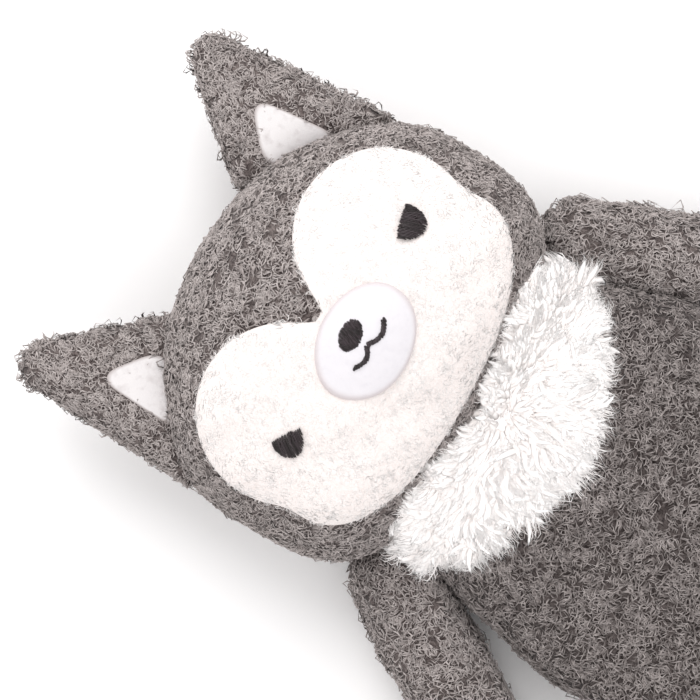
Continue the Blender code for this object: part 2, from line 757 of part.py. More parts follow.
# ---- arms --------------------------------------------------------------------------------------
def tube_place(side, angle, root, along, across, up):
    """A point of a limb that leaves `root` at `angle` out from straight down."""
    out = np.array([side * math.sin(angle), -math.cos(angle)])
    over = np.array([-out[1], out[0]])
    plan = np.array(root[:2]) * (side, 1) + np.multiply.outer(along, out) + np.multiply.outer(across, over)
    return np.column_stack([plan, root[2] + np.asarray(up)])


def arm_place(name, along, across, up):
    """A point of an arm from its distance along, across and above the arm's middle line."""
    return tube_place(SIDES[name], ARM_ANGLE[name], (*ARM_ROOT, ARM_Z), along, across, up)


def arm_girth(along):
    """The tube's radius: even along the arm, fuller at the paw and round at its end."""
    radius = ARM_RADIUS + ARM_SWELL * np.sin(np.clip((along / ARM_LENGTH - 0.5) * 2, 0, 1) * math.pi / 2)
    cap = ARM_RADIUS + ARM_SWELL
    beyond = np.clip((along - (ARM_LENGTH - cap)) / cap, 0, 1)
    return radius * np.sqrt(1 - beyond**2)


def arm_rings(name, stations, turn, inset):
    rings = []
    for along in stations:
        radius = arm_girth(along * ARM_LENGTH / (ARM_LENGTH - inset)) * (1 - inset / ARM_RADIUS)
        up = radius * 0.97 * np.sin(turn)
        rings.append(arm_place(name, np.full(len(turn), along), radius * np.cos(turn), up))
    return rings


def arm_stations(shares, inset):
    """Places along the arm, from its mouth to the inside of its tip."""
    return [ARM_MOUTH + share * (ARM_LENGTH - inset - ARM_MOUTH) for share in shares]


def arm(name, holder):
    """Front and back panel round a finger sleeve, with a stuffed paw."""
    shares = [0, 0.22, 0.45, 0.66, 0.82, 0.9, 0.96, 0.99, 1]
    for panel, sense in (("front", 1), ("back", -1)):
        turn = np.linspace(0, math.pi, 9) * sense
        shift = (0, 0, sense * GAP / 2)
        outer, inner = (
            np.array(arm_rings(name, arm_stations(shares, inset), turn, inset)) + shift
            for inset in (0, ARM_PLUSH)
        )
        shell(f"arm_{panel}_panel_{name}", "grey_plush", outer, inner, holder, pole=True)
    turn = around(14)
    radius = FINGER_RADIUS + LINING
    rings = []
    for along, share in ((2, 1.05), (20, 1), (40, 1), (50, 0.95), (56, 0.7), (58.5, 0.35), (59, 0)):
        middle = np.full(14, along * MM)
        rings.append(arm_place(name, middle, radius * share * np.cos(turn), radius * share * np.sin(turn)))
    walled(loft(f"arm_finger_sleeve_{name}", "lining_cloth", rings, holder), LINING)
    inset = ARM_PLUSH + 1.4 * MM
    start, end = 62 * MM, ARM_LENGTH - inset
    stations = start + (end - start) * (1 - np.cos(np.linspace(0, 1, 7) * math.pi)) / 2
    rings = arm_rings(name, stations, turn, inset)
    rings[0] = np.tile(rings[0].mean(axis=0), (14, 1))
    loft(f"paw_stuffing_{name}", "stuffing", rings, holder)


def shoulder(name, holder):
    """The soft elbow that joins the hole in the torso's side to the arm's mouth."""
    turn = around(16)
    angle = ARM_ANGLE[name]
    start, end = (*SHOULDER_HOLE, SEAM_Z - 1 * MM), (*ARM_ROOT, ARM_Z)
    rings = []
    for share in (0, 0.5, 1):
        bend = SHOULDER_HOLE_ANGLE + (angle - SHOULDER_HOLE_ANGLE) * share
        root = [a + (b - a) * share for a, b in zip(start, end)]
        root[1] += SHOULDER_BOW * math.sin(share * math.pi)
        across = (SHOULDER_HOLE_RADIUS + (SLEEVE_MOUTH_RADIUS - SHOULDER_HOLE_RADIUS) * share) * np.cos(turn)
        up = SLEEVE_MOUTH_RADIUS * 0.86 * np.sin(turn)
        rings.append(tube_place(SIDES[name], bend, root, np.full(16, SLEEVE_MOUTH_SETBACK), across, up))
    return walled(loft(f"shoulder_gusset_{name}", "grey_plush", rings, holder), 1.6 * MM)


# ---- assembly ----------------------------------------------------------------------------------
def build():
    clear_scene()
    torso()
    neck_turn = pivot("neck_turn_axis", NECK_PIVOT)
    neck(neck_turn)
    head_nod = pivot("head_nod_axis", NECK_PIVOT, neck_turn)
    head(head_nod)
    for name, side in SIDES.items():
        ear_axis = pivot(f"ear_axis_{name}", (side * EAR_PIVOT[0], EAR_PIVOT[1], HEAD_SEAM_Z), head_nod)
        ear(name, side, ear_axis)
        root = (side * ARM_ROOT[0], ARM_ROOT[1], ARM_Z)
        lift_axis = pivot(f"arm_lift_axis_{name}", root)
        shoulder(name, lift_axis)
        swing_axis = pivot(f"arm_swing_axis_{name}", root, lift_axis)
        arm(name, swing_axis)


build()
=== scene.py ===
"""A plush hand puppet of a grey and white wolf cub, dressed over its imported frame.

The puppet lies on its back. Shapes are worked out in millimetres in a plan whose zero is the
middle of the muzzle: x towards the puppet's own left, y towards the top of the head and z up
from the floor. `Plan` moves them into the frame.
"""

import json
import logging
import math
from collections.abc import Callable
from dataclasses import dataclass, replace
from enum import Enum

import bpy
import numpy as np
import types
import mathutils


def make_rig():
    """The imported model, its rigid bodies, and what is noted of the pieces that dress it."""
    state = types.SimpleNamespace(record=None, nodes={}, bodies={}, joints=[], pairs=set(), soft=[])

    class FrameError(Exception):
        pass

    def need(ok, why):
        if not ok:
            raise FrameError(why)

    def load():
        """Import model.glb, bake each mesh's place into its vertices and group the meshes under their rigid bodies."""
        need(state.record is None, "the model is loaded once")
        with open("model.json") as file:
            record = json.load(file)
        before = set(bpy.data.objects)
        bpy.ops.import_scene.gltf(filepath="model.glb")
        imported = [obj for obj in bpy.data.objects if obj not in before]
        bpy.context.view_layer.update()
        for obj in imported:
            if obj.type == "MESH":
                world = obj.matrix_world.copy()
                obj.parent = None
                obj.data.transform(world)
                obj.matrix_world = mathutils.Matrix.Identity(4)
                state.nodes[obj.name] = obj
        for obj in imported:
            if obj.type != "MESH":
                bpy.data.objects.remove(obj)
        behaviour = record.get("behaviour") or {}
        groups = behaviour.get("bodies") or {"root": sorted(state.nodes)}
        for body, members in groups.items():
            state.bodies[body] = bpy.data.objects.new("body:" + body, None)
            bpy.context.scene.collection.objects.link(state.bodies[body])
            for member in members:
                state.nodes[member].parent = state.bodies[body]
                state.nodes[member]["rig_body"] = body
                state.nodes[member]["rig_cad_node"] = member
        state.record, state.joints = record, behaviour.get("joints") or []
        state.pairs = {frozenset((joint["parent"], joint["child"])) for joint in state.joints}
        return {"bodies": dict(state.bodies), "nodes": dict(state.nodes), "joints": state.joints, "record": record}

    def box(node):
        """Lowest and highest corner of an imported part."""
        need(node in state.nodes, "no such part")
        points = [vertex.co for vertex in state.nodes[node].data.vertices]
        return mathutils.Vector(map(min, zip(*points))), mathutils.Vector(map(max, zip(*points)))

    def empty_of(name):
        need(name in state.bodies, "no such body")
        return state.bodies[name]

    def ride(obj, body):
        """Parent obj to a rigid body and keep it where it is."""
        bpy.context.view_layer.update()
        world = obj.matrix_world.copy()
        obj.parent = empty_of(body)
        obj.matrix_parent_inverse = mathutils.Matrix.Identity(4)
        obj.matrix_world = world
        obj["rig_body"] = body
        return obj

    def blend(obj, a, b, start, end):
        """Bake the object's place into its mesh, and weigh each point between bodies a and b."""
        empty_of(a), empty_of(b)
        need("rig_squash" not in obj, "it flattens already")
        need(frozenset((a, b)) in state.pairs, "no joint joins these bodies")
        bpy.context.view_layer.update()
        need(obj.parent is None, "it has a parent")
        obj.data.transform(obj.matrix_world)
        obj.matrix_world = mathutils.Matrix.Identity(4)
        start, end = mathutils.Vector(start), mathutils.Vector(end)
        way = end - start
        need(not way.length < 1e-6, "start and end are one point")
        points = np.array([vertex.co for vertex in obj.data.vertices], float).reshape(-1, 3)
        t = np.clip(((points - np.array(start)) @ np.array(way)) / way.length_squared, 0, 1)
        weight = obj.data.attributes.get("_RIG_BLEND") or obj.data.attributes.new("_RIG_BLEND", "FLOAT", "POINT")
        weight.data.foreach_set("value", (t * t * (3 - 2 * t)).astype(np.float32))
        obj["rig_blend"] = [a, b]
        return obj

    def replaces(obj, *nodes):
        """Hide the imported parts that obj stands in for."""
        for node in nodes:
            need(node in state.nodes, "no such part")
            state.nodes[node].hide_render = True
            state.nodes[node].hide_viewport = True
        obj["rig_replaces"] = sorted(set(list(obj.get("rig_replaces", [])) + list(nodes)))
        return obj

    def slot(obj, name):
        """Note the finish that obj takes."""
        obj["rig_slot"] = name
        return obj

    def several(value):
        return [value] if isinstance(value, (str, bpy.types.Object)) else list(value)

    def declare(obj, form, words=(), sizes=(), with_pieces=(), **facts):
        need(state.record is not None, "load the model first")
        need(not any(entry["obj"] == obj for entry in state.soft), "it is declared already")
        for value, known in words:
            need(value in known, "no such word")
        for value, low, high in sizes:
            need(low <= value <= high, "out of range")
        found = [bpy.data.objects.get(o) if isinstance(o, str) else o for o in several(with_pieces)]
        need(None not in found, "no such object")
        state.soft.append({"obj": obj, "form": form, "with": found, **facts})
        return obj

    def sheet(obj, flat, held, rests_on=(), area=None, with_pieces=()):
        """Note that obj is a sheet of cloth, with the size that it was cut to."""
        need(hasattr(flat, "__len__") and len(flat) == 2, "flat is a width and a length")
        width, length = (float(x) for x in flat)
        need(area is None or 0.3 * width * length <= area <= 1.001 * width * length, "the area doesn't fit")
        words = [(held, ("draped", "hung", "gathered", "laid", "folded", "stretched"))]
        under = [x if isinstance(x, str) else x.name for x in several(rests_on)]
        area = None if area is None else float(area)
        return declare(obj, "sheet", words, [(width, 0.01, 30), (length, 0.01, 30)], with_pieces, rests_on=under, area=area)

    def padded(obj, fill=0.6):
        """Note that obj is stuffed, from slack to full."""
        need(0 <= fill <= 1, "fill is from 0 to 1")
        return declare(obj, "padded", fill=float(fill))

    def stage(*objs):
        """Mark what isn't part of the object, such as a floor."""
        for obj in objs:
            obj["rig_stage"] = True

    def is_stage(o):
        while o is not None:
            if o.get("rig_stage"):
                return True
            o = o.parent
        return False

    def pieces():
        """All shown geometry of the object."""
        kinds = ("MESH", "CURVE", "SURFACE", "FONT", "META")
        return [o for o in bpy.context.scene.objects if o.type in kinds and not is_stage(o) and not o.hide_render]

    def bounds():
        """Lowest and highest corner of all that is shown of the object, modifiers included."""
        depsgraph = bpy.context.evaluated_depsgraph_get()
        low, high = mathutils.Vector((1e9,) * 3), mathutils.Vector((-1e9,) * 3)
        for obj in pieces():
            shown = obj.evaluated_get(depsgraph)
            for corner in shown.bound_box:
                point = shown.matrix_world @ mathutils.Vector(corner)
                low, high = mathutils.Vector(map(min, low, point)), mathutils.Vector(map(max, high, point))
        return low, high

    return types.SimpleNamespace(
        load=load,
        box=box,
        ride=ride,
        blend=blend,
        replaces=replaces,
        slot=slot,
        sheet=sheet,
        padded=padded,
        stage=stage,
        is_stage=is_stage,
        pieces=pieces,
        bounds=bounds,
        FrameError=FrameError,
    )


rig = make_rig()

log = logging.getLogger("sock_puppet")

MM = 0.001
PIECE_TRIANGLES = 190_000  # the most triangles that one piece of pile may have
FLOOR_CLEAR = 0.15  # mm between the lowest fibre and the floor
SIZE_FILE = "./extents.json"

Field = Callable[[np.ndarray, np.ndarray], np.ndarray]
Surface = Callable[[np.ndarray, np.ndarray], tuple[np.ndarray, np.ndarray]]
Height = Callable[[np.ndarray], np.ndarray]
Profile = tuple[tuple[float, float], ...]


class Slot(Enum):
    """The record's material slots."""

    GREY_PLUSH = "grey_plush"
    WHITE_PLUSH = "white_plush"
    WHITE_FUR = "white_fur"
    WHITE_FELT = "white_felt"
    BLACK_THREAD = "black_thread"
    LINING = "lining_cloth"
    STUFFING = "stuffing"
    LABEL = "label_tape"


class Side(Enum):
    """The puppet's own left and right, with the sign of x there."""

    LEFT = "left"
    RIGHT = "right"

    @property
    def sign(self) -> int:
        """+1 on the left, -1 on the right."""
        return 1 if self is Side.LEFT else -1


# ---- colour and nodes --------------------------------------------------------------------------
def linear(colour: str) -> tuple[float, float, float, float]:
    """Turns an sRGB colour into the linear one that shaders use.

    Args:
        colour: six hex digits, as "998C89".

    Returns:
        Red, green, blue and an alpha of 1.
    """
    parts = np.array([int(colour[i : i + 2], 16) for i in (0, 2, 4)]) / 255
    lit = np.where(parts <= 0.04045, parts / 12.92, ((parts + 0.055) / 1.055) ** 2.4)
    return (*lit.tolist(), 1.0)


def add_node(
    tree: bpy.types.NodeTree,
    kind: str,
    settings: dict[str | int, object] | None = None,
    links: dict[str | int, bpy.types.NodeSocket] | None = None,
) -> bpy.types.Node:
    """Adds one node.

    Args:
        tree: the material's node tree.
        kind: the node's type, without its "ShaderNode" prefix.
        settings: values by the name of a setting or input, or by an input's number.
        links: the outputs that feed the node's inputs, by the same keys.

    Returns:
        The new node.
    """
    node = tree.nodes.new(f"ShaderNode{kind}")
    for key, value in (settings or {}).items():
        if isinstance(key, str) and hasattr(node, key):
            setattr(node, key, value)
        else:
            node.inputs[key].default_value = value
    for key, output in (links or {}).items():
        tree.links.new(output, node.inputs[key])
    return node


def new_material(name: str) -> tuple[bpy.types.Material, bpy.types.NodeTree, bpy.types.Node]:
    """Starts a material.

    Args:
        name: the real material and how it was made.

    Returns:
        The material, its tree and its Principled shader.
    """
    material = bpy.data.materials.new(name)
    material.use_nodes = True
    return material, material.node_tree, material.node_tree.nodes["Principled BSDF"]


@dataclass(frozen=True)
class FibrePile:
    """Brushed polyester microfibre, cut and tumbled: soft matt strands, paler towards the tip, with painted shade that
    darkens them towards the root and darkens some at random.
    """

    name: str
    # painted shade: each strand is darker towards its root, where the pile shades it
    root: str
    tip: str
    dusk: str  # painted shade: the dark tone that strands are mixed towards at random, for the shade deep in the pile
    dusk_share: float = 0.5
    sheen: float = 0.25
    roughness: float = 0.85
    drift: float = 14.0  # mm between lighter and darker patches
    softness: float = 0.6  # how far a strand is lit as the cloth below it, as scattering hair is

    def material(self) -> bpy.types.Material:
        """Mixes root to tip along each strand, painted shade towards the root, then mixes in the dusk tone, more
        painted shade, by the strand's random shade number times a patch noise.
        """
        material, tree, shader = new_material(self.name)
        along = add_node(tree, "Attribute", {"attribute_name": "tip"})
        shade = add_node(tree, "Attribute", {"attribute_name": "shade"})
        place = add_node(tree, "TexCoord")
        patch = add_node(
            tree,
            "TexNoise",
            {"Scale": 1 / (self.drift * MM), "Detail": 3.0},
            {"Vector": place.outputs["Object"]},
        )
        # painted shade along the strand, from the root colour to the tip colour
        strand = add_node(
            tree,
            "Mix",
            {"data_type": "RGBA", 6: linear(self.root), 7: linear(self.tip)},
            {0: along.outputs["Fac"]},
        )
        both = add_node(
            tree, "Math", {"operation": "MULTIPLY"}, {0: shade.outputs["Fac"], 1: patch.outputs["Fac"]}
        )
        # painted shade: how far each strand is mixed towards the dusk tone
        painted_shade_share = add_node(
            tree,
            "MapRange",
            {"From Min": 0.0, "From Max": 0.6, "To Min": 0.0, "To Max": self.dusk_share},
            {"Value": both.outputs["Value"]},
        )
        colour = add_node(
            tree,
            "Mix",
            {"data_type": "RGBA", 7: linear(self.dusk)},
            {0: painted_shade_share.outputs["Result"], 6: strand.outputs[2]},
        )
        rough = add_node(
            tree,
            "MapRange",
            {"To Min": self.roughness - 0.08, "To Max": self.roughness + 0.08},
            {"Value": shade.outputs["Fac"]},
        )
        lean = add_node(tree, "Attribute", {"attribute_name": "cloth_normal"})
        turned = add_node(
            tree,
            "VectorTransform",
            {"vector_type": "NORMAL", "convert_from": "OBJECT", "convert_to": "WORLD"},
            {"Vector": lean.outputs["Vector"]},
        )
        own = add_node(tree, "NewGeometry")
        soft = add_node(
            tree,
            "Mix",
            {"data_type": "VECTOR", 0: self.softness},
            {4: own.outputs["Normal"], 5: turned.outputs["Vector"]},
        )
        level = add_node(tree, "VectorMath", {"operation": "NORMALIZE"}, {0: soft.outputs[1]})
        tree.links.new(level.outputs["Vector"], shader.inputs["Normal"])
        tree.links.new(colour.outputs[2], shader.inputs["Base Color"])
        tree.links.new(rough.outputs["Result"], shader.inputs["Roughness"])
        shader.inputs["Sheen Weight"].default_value = self.sheen
        shader.inputs["Sheen Roughness"].default_value = 0.5
        shader.inputs["Sheen Tint"].default_value = linear(self.tip)
        shader.inputs["Specular IOR Level"].default_value = 0.15
        return material


@dataclass(frozen=True)
class PileGround:
    """The knitted ground that pile is rooted in, brushed at random, with painted shade: its deep tone darkens it in
    patches of a tuft's size, for the shade between the tufts.
    """

    name: str
    # deep is painted shade, the tone between the tufts; high is the lighter tone
    deep: str
    high: str
    tuft: float  # mm between tufts
    relief: float  # mm of bump
    swirl: float = 2.2

    def material(self) -> bpy.types.Material:
        """A noise of the tuft's size, warped by a slower one, gives the bump and the colour, which darkens towards the
        deep tone as painted shade.
        """
        material, tree, shader = new_material(self.name)
        place = add_node(tree, "TexCoord")
        slow = add_node(
            tree,
            "TexNoise",
            {"Scale": 0.4 / (self.tuft * MM), "Detail": 2.0},
            {"Vector": place.outputs["Object"]},
        )
        warp = add_node(
            tree,
            "VectorMath",
            {"operation": "MULTIPLY_ADD", 1: (self.swirl * self.tuft * MM,) * 3},
            {0: slow.outputs["Color"], 2: place.outputs["Object"]},
        )
        curl = add_node(
            tree,
            "TexNoise",
            {"Scale": 1 / (self.tuft * MM), "Detail": 5.0, "Roughness": 0.65, "Distortion": 1.2},
            {"Vector": warp.outputs["Vector"]},
        )
        tone = add_node(
            tree,
            "MapRange",
            {"From Min": 0.36, "From Max": 0.66},
            {"Value": curl.outputs["Fac"]},
        )
        # painted shade: the deep tone where the noise is low
        colour = add_node(
            tree,
            "Mix",
            {"data_type": "RGBA", 6: linear(self.deep), 7: linear(self.high)},
            {0: tone.outputs["Result"]},
        )
        bump = add_node(
            tree,
            "Bump",
            {"Strength": 1.0, "Distance": self.relief * MM},
            {"Height": curl.outputs["Fac"]},
        )
        tree.links.new(colour.outputs[2], shader.inputs["Base Color"])
        tree.links.new(bump.outputs["Normal"], shader.inputs["Normal"])
        shader.inputs["Roughness"].default_value = 0.95
        shader.inputs["Specular IOR Level"].default_value = 0.1
        shader.inputs["Sheen Weight"].default_value = 0.2
        return material


@dataclass(frozen=True)
class NeedleFelt:
    """Needle-punched polyester felt: short fibres pressed every way into a matt, even sheet."""

    name: str
    colour: str
    mottle: str
    rim: str  # painted shade in the crease round the edge
    mottle_share: float = 0.35
    fibre: float = 0.5  # mm

    def material(self) -> bpy.types.Material:
        """A fine noise for the fibres, a slow one for the mottle and painted shade towards the rim."""
        material, tree, shader = new_material(self.name)
        place = add_node(tree, "TexCoord")
        fine = add_node(
            tree,
            "TexNoise",
            {"Scale": 1 / (self.fibre * MM), "Detail": 6.0, "Roughness": 0.7, "Distortion": 2.0},
            {"Vector": place.outputs["Object"]},
        )
        clouds = add_node(
            tree,
            "TexNoise",
            {"Scale": 0.25 / (self.fibre * MM), "Detail": 3.0},
            {"Vector": place.outputs["Object"]},
        )
        share = add_node(
            tree,
            "MapRange",
            {"From Min": 0.5, "From Max": 0.75, "To Max": self.mottle_share},
            {"Value": clouds.outputs["Fac"]},
        )
        body = add_node(
            tree,
            "Mix",
            {"data_type": "RGBA", 6: linear(self.colour), 7: linear(self.mottle)},
            {0: share.outputs["Result"]},
        )
        # painted shade: darker over the last share of the way out to the rim
        edge = add_node(tree, "Attribute", {"attribute_name": "rim"})
        reach = add_node(
            tree,
            "MapRange",
            {"From Min": 0.86, "From Max": 1.0, "To Max": 0.8, "interpolation_type": "SMOOTHSTEP"},
            {"Value": edge.outputs["Fac"]},
        )
        colour = add_node(
            tree,
            "Mix",
            {"data_type": "RGBA", 7: linear(self.rim)},
            {0: reach.outputs["Result"], 6: body.outputs[2]},
        )
        bump = add_node(
            tree, "Bump", {"Strength": 0.6, "Distance": 0.18 * MM}, {"Height": fine.outputs["Fac"]}
        )
        tree.links.new(colour.outputs[2], shader.inputs["Base Color"])
        tree.links.new(bump.outputs["Normal"], shader.inputs["Normal"])
        shader.inputs["Roughness"].default_value = 0.9
        shader.inputs["Specular IOR Level"].default_value = 0.2
        shader.inputs["Sheen Weight"].default_value = 0.15
        return material


@dataclass(frozen=True)
class EmbroideryThread:
    """Twisted thread with a soft gleam along each stitch."""

    name: str
    colour: str
    gleam: str
    roughness: float = 0.42
    twist: float = 0.45  # mm from ply to ply, drawn coarser than real so that it shows

    def material(self) -> bpy.types.Material:
        """Slanting plies as a bump and a slight change of tone from stitch to stitch."""
        material, tree, shader = new_material(self.name)
        place = add_node(tree, "TexCoord")
        ply = add_node(
            tree,
            "TexWave",
            {"Scale": 0.3 / (self.twist * MM), "Distortion": 1.5, "bands_direction": "DIAGONAL"},
            {"Vector": place.outputs["Object"]},
        )
        shade = add_node(tree, "Attribute", {"attribute_name": "shade"})
        colour = add_node(
            tree,
            "Mix",
            {"data_type": "RGBA", 6: linear(self.colour), 7: linear(self.gleam)},
            {0: shade.outputs["Fac"]},
        )
        bump = add_node(tree, "Bump", {"Strength": 0.5, "Distance": 0.1 * MM}, {"Height": ply.outputs["Fac"]})
        tree.links.new(colour.outputs[2], shader.inputs["Base Color"])
        tree.links.new(bump.outputs["Normal"], shader.inputs["Normal"])
        shader.inputs["Roughness"].default_value = self.roughness
        shader.inputs["Specular IOR Level"].default_value = 0.4
        return material


@dataclass(frozen=True)
class PlainWeave:
    """Plain-woven polycotton: warp over weft, a fine grid that shades with the light."""

    name: str
    thread: str
    gap: str
    pitch: float = 0.9  # mm from thread to thread, drawn coarser than real so that it shows
    roughness: float = 0.85

    def material(self) -> bpy.types.Material:
        """Two crossed waves make the grid, a slow noise its slubs."""
        material, tree, shader = new_material(self.name)
        place = add_node(tree, "TexCoord")
        waves = [
            add_node(
                tree,
                "TexWave",
                {"Scale": 0.314 / (self.pitch * MM), "Distortion": 0.4, "bands_direction": way},
                {"Vector": place.outputs["Object"]},
            )
            for way in ("X", "Y")
        ]
        grid = add_node(
            tree,
            "Math",
            {"operation": "MAXIMUM"},
            {0: waves[0].outputs["Fac"], 1: waves[1].outputs["Fac"]},
        )
        slub = add_node(
            tree,
            "TexNoise",
            {"Scale": 0.2 / (self.pitch * MM), "Detail": 4.0},
            {"Vector": place.outputs["Object"]},
        )
        tone = add_node(
            tree, "Math", {"operation": "MULTIPLY"}, {0: grid.outputs["Value"], 1: slub.outputs["Fac"]}
        )
        colour = add_node(
            tree,
            "Mix",
            {"data_type": "RGBA", 6: linear(self.gap), 7: linear(self.thread)},
            {0: tone.outputs["Value"]},
        )
        bump = add_node(
            tree, "Bump", {"Strength": 0.7, "Distance": 0.2 * MM}, {"Height": grid.outputs["Value"]}
        )
        tree.links.new(colour.outputs[2], shader.inputs["Base Color"])
        tree.links.new(bump.outputs["Normal"], shader.inputs["Normal"])
        shader.inputs["Roughness"].default_value = self.roughness
        shader.inputs["Specular IOR Level"].default_value = 0.25
        return material


class Finishes:
    """Every material of the puppet, made once."""

    def __init__(self) -> None:
        """Makes the materials."""
        # In each pile the root and dusk colours are painted shade, and so is each ground's deep colour.
        self.grey_strands = FibrePile(
            "grey_polyester_microfibre_pile", "7A706D", "DFD6D3", "6C6260", 0.6, drift=2.8
        ).material()
        self.grey_ground = PileGround("grey_pile_knitted_ground", "3A3130", "857A77", 2.0, 1.0).material()
        # painted shade: the body's pile and ground are darker than the head's, for the light falling off over the body
        self.body_strands = FibrePile(
            "grey_polyester_microfibre_pile_painted_shade", "4A413F", "CFC6C3", "413836", 0.85, drift=3.0
        ).material()
        self.body_ground = PileGround("grey_body_knitted_ground_painted_shade", "282120", "675E5C", 2.0, 1.0).material()
        self.white_strands = FibrePile(
            "white_polyester_microfibre_pile", "F1E9E6", "FDFBFA", "ECE3E0", 0.5, 0.1, softness=0.9, drift=4.0
        ).material()
        self.white_ground = PileGround("white_pile_knitted_ground", "E6DCD8", "F3EDEB", 0.9, 0.2).material()
        self.fur_strands = FibrePile(
            "white_polyester_long_pile", "F7EEEA", "FFFFFF", "F6ECE8", 0.4, 0.1, softness=0.9, drift=6.0
        ).material()
        self.fur_ground = PileGround("white_long_pile_backing", "FAF1EE", "FFFFFF", 3.0, 0.5).material()
        # The felts' third colours are painted shade in the crease round their edges.
        self.felt = NeedleFelt("white_needle_felt", "E0DDE1", "D8D5DA", "D0C6C7", 0.5).material()
        self.ear_felt = NeedleFelt("white_ear_needle_felt", "DEDADA", "BFB8B8", "A89E9C", 0.6, 0.8).material()
        self.thread = EmbroideryThread("black_rayon_embroidery", "17100F", "3A3034").material()
        self.weave = PlainWeave("grey_plain_woven_polycotton", "8B8381", "453F3E").material()
        self.hem_thread = EmbroideryThread("grey_spun_sewing_thread", "6A605E", "8C817E", 0.7).material()
        self.wadding = PileGround("polyester_fibre_filling", "D8D5D0", "F4F2EE", 4.0, 1.5).material()
        self.tape = PlainWeave("white_woven_satin_tape", "F6F5F3", "D9D7D3", 0.5, 0.5).material()


# ---- arrays ------------------------------------------------------------------------------------
def unit(vectors: np.ndarray) -> np.ndarray:
    """Vectors scaled to length one."""
    return vectors / np.maximum(np.linalg.norm(vectors, axis=-1, keepdims=True), 1e-12)


def ripple(points: np.ndarray, wavelength: float, seed: int, waves: int = 9) -> np.ndarray:
    """A smooth random field: the mean of cosines that run in seeded random directions.

    Args:
        points: places in mm, the last axis being x, y, z.
        wavelength: mm from crest to crest, give or take a third.
        seed: which field.
        waves: how many cosines.

    Returns:
        About -1 to 1 for each point.
    """
    rng = np.random.default_rng(seed)
    ways = unit(rng.normal(size=(waves, 3))) * (2 * math.pi / wavelength) * rng.uniform(0.7, 1.4, (waves, 1))
    phases = rng.uniform(0, 2 * math.pi, waves)
    return np.cos(points @ ways.T + phases).sum(axis=-1) / math.sqrt(waves)


def along_profile(y: np.ndarray, profile: Profile) -> np.ndarray:
    """A value at each y, read from pairs of place and value."""
    return np.interp(y, *np.transpose(profile))


def superellipse(turn: np.ndarray, fullness: np.ndarray | float) -> tuple[np.ndarray, np.ndarray]:
    """Cosine and sine raised to 2 / fullness with their signs kept: 2 is an oval, more is boxier."""
    power = 2 / np.asarray(fullness)
    across, up = np.cos(turn), np.sin(turn)
    return np.sign(across) * np.abs(across) ** power, np.sign(up) * np.abs(up) ** power


def grid_quads(rows: int, columns: int, wrapped: bool) -> np.ndarray:
    """The corner numbers of a grid's faces; a wrapped grid's last column joins its first."""
    row = np.arange(rows - 1)[:, None] * columns
    column = np.arange(columns if wrapped else columns - 1)[None]
    after = (column + 1) % columns
    corners = [row + column, row + after, row + columns + after, row + columns + column]
    return np.stack(corners, axis=-1).reshape(-1, 4)


def pole(ring: np.ndarray) -> np.ndarray:
    """A ring with all its points at its own middle, which closes a surface there."""
    return np.broadcast_to(ring.mean(axis=-2, keepdims=True), ring.shape)


def volume(points: np.ndarray, faces: np.ndarray) -> float:
    """Six times the volume inside triangles or quads, negative if they face inwards."""
    a, b, c = (points[faces[:, i]] for i in range(3))
    total = (a * np.cross(b, c)).sum()
    if faces.shape[1] == 4:
        d = points[faces[:, 3]]
        total += (a * np.cross(c, d)).sum()
    return float(total)


def inside(plan: np.ndarray, outline: np.ndarray) -> np.ndarray:
    """Which plan points lie inside a closed outline: an odd number of its edges lies to their right."""
    x, y = plan[:, :1], plan[:, 1:2]
    x0, y0 = outline.T
    x1, y1 = np.roll(outline, -1, axis=0).T
    spans = (y0 > y) != (y1 > y)
    rise = np.where(y1 == y0, 1e-9, y1 - y0)
    return (spans & (x < (x1 - x0) * (y - y0) / rise + x0)).sum(axis=1) % 2 == 1


def even_outline(outline: np.ndarray, count: int) -> np.ndarray:
    """The same closed outline with its points evenly spaced."""
    loop = np.concatenate([outline, outline[:1]])
    length = np.concatenate([[0], np.cumsum(np.linalg.norm(np.diff(loop, axis=0), axis=1))])
    at = np.arange(count) / count * length[-1]
    return np.stack([np.interp(at, length, loop[:, i]) for i in (0, 1)], axis=1)


def softened(outline: np.ndarray, reach: int) -> np.ndarray:
    """A closed outline with each point moved to the mean of its neighbours on both sides."""
    return np.mean([np.roll(outline, step, axis=0) for step in range(-reach, reach + 1)], axis=0)


def tubes(
    paths: np.ndarray, radii: np.ndarray, upward: np.ndarray, sides: int = 3
) -> tuple[np.ndarray, np.ndarray]:
    """Closed spindles round many paths at once.

    Each path's first and last stations are points, and a ring of `sides` points stands round each
    station between them, square to the path: centre + radius * (side * cos + up * sin).

    Args:
        paths: strands x stations x 3.
        radii: strands x (stations - 2).
        upward: strands x 3, a direction that no path runs along.
        sides: the points of each ring.

    Returns:
        The points, strand after strand, and the triangles.
    """
    strands, stations, _ = paths.shape
    along = unit(np.gradient(paths, axis=1))[:, 1:-1]
    side = unit(np.cross(along, upward[:, None]))
    up = np.cross(side, along)
    turn = np.arange(sides) / sides * 2 * math.pi
    ring = side[:, :, None] * np.cos(turn)[:, None] + up[:, :, None] * np.sin(turn)[:, None]
    rings = paths[:, 1:-1, None] + ring * radii[:, :, None, None]
    middle = rings.reshape(strands, -1, 3)
    points = np.concatenate([paths[:, :1], middle, paths[:, -1:]], axis=1)
    count = points.shape[1]
    here = np.arange(sides)
    after = (here + 1) % sides
    start = np.stack([np.zeros(sides, int), 1 + after, 1 + here], axis=1)
    last = 1 + (stations - 3) * sides
    end = np.stack([last + here, last + after, np.full(sides, count - 1)], axis=1)
    between = grid_quads(stations - 2, sides, True) + 1
    halves = np.concatenate([between[:, [0, 1, 2]], between[:, [0, 2, 3]]])
    pattern = np.concatenate([start, halves, end])
    triangles = (np.arange(strands)[:, None, None] * count + pattern).reshape(-1, 3)
    return points.reshape(-1, 3), triangles


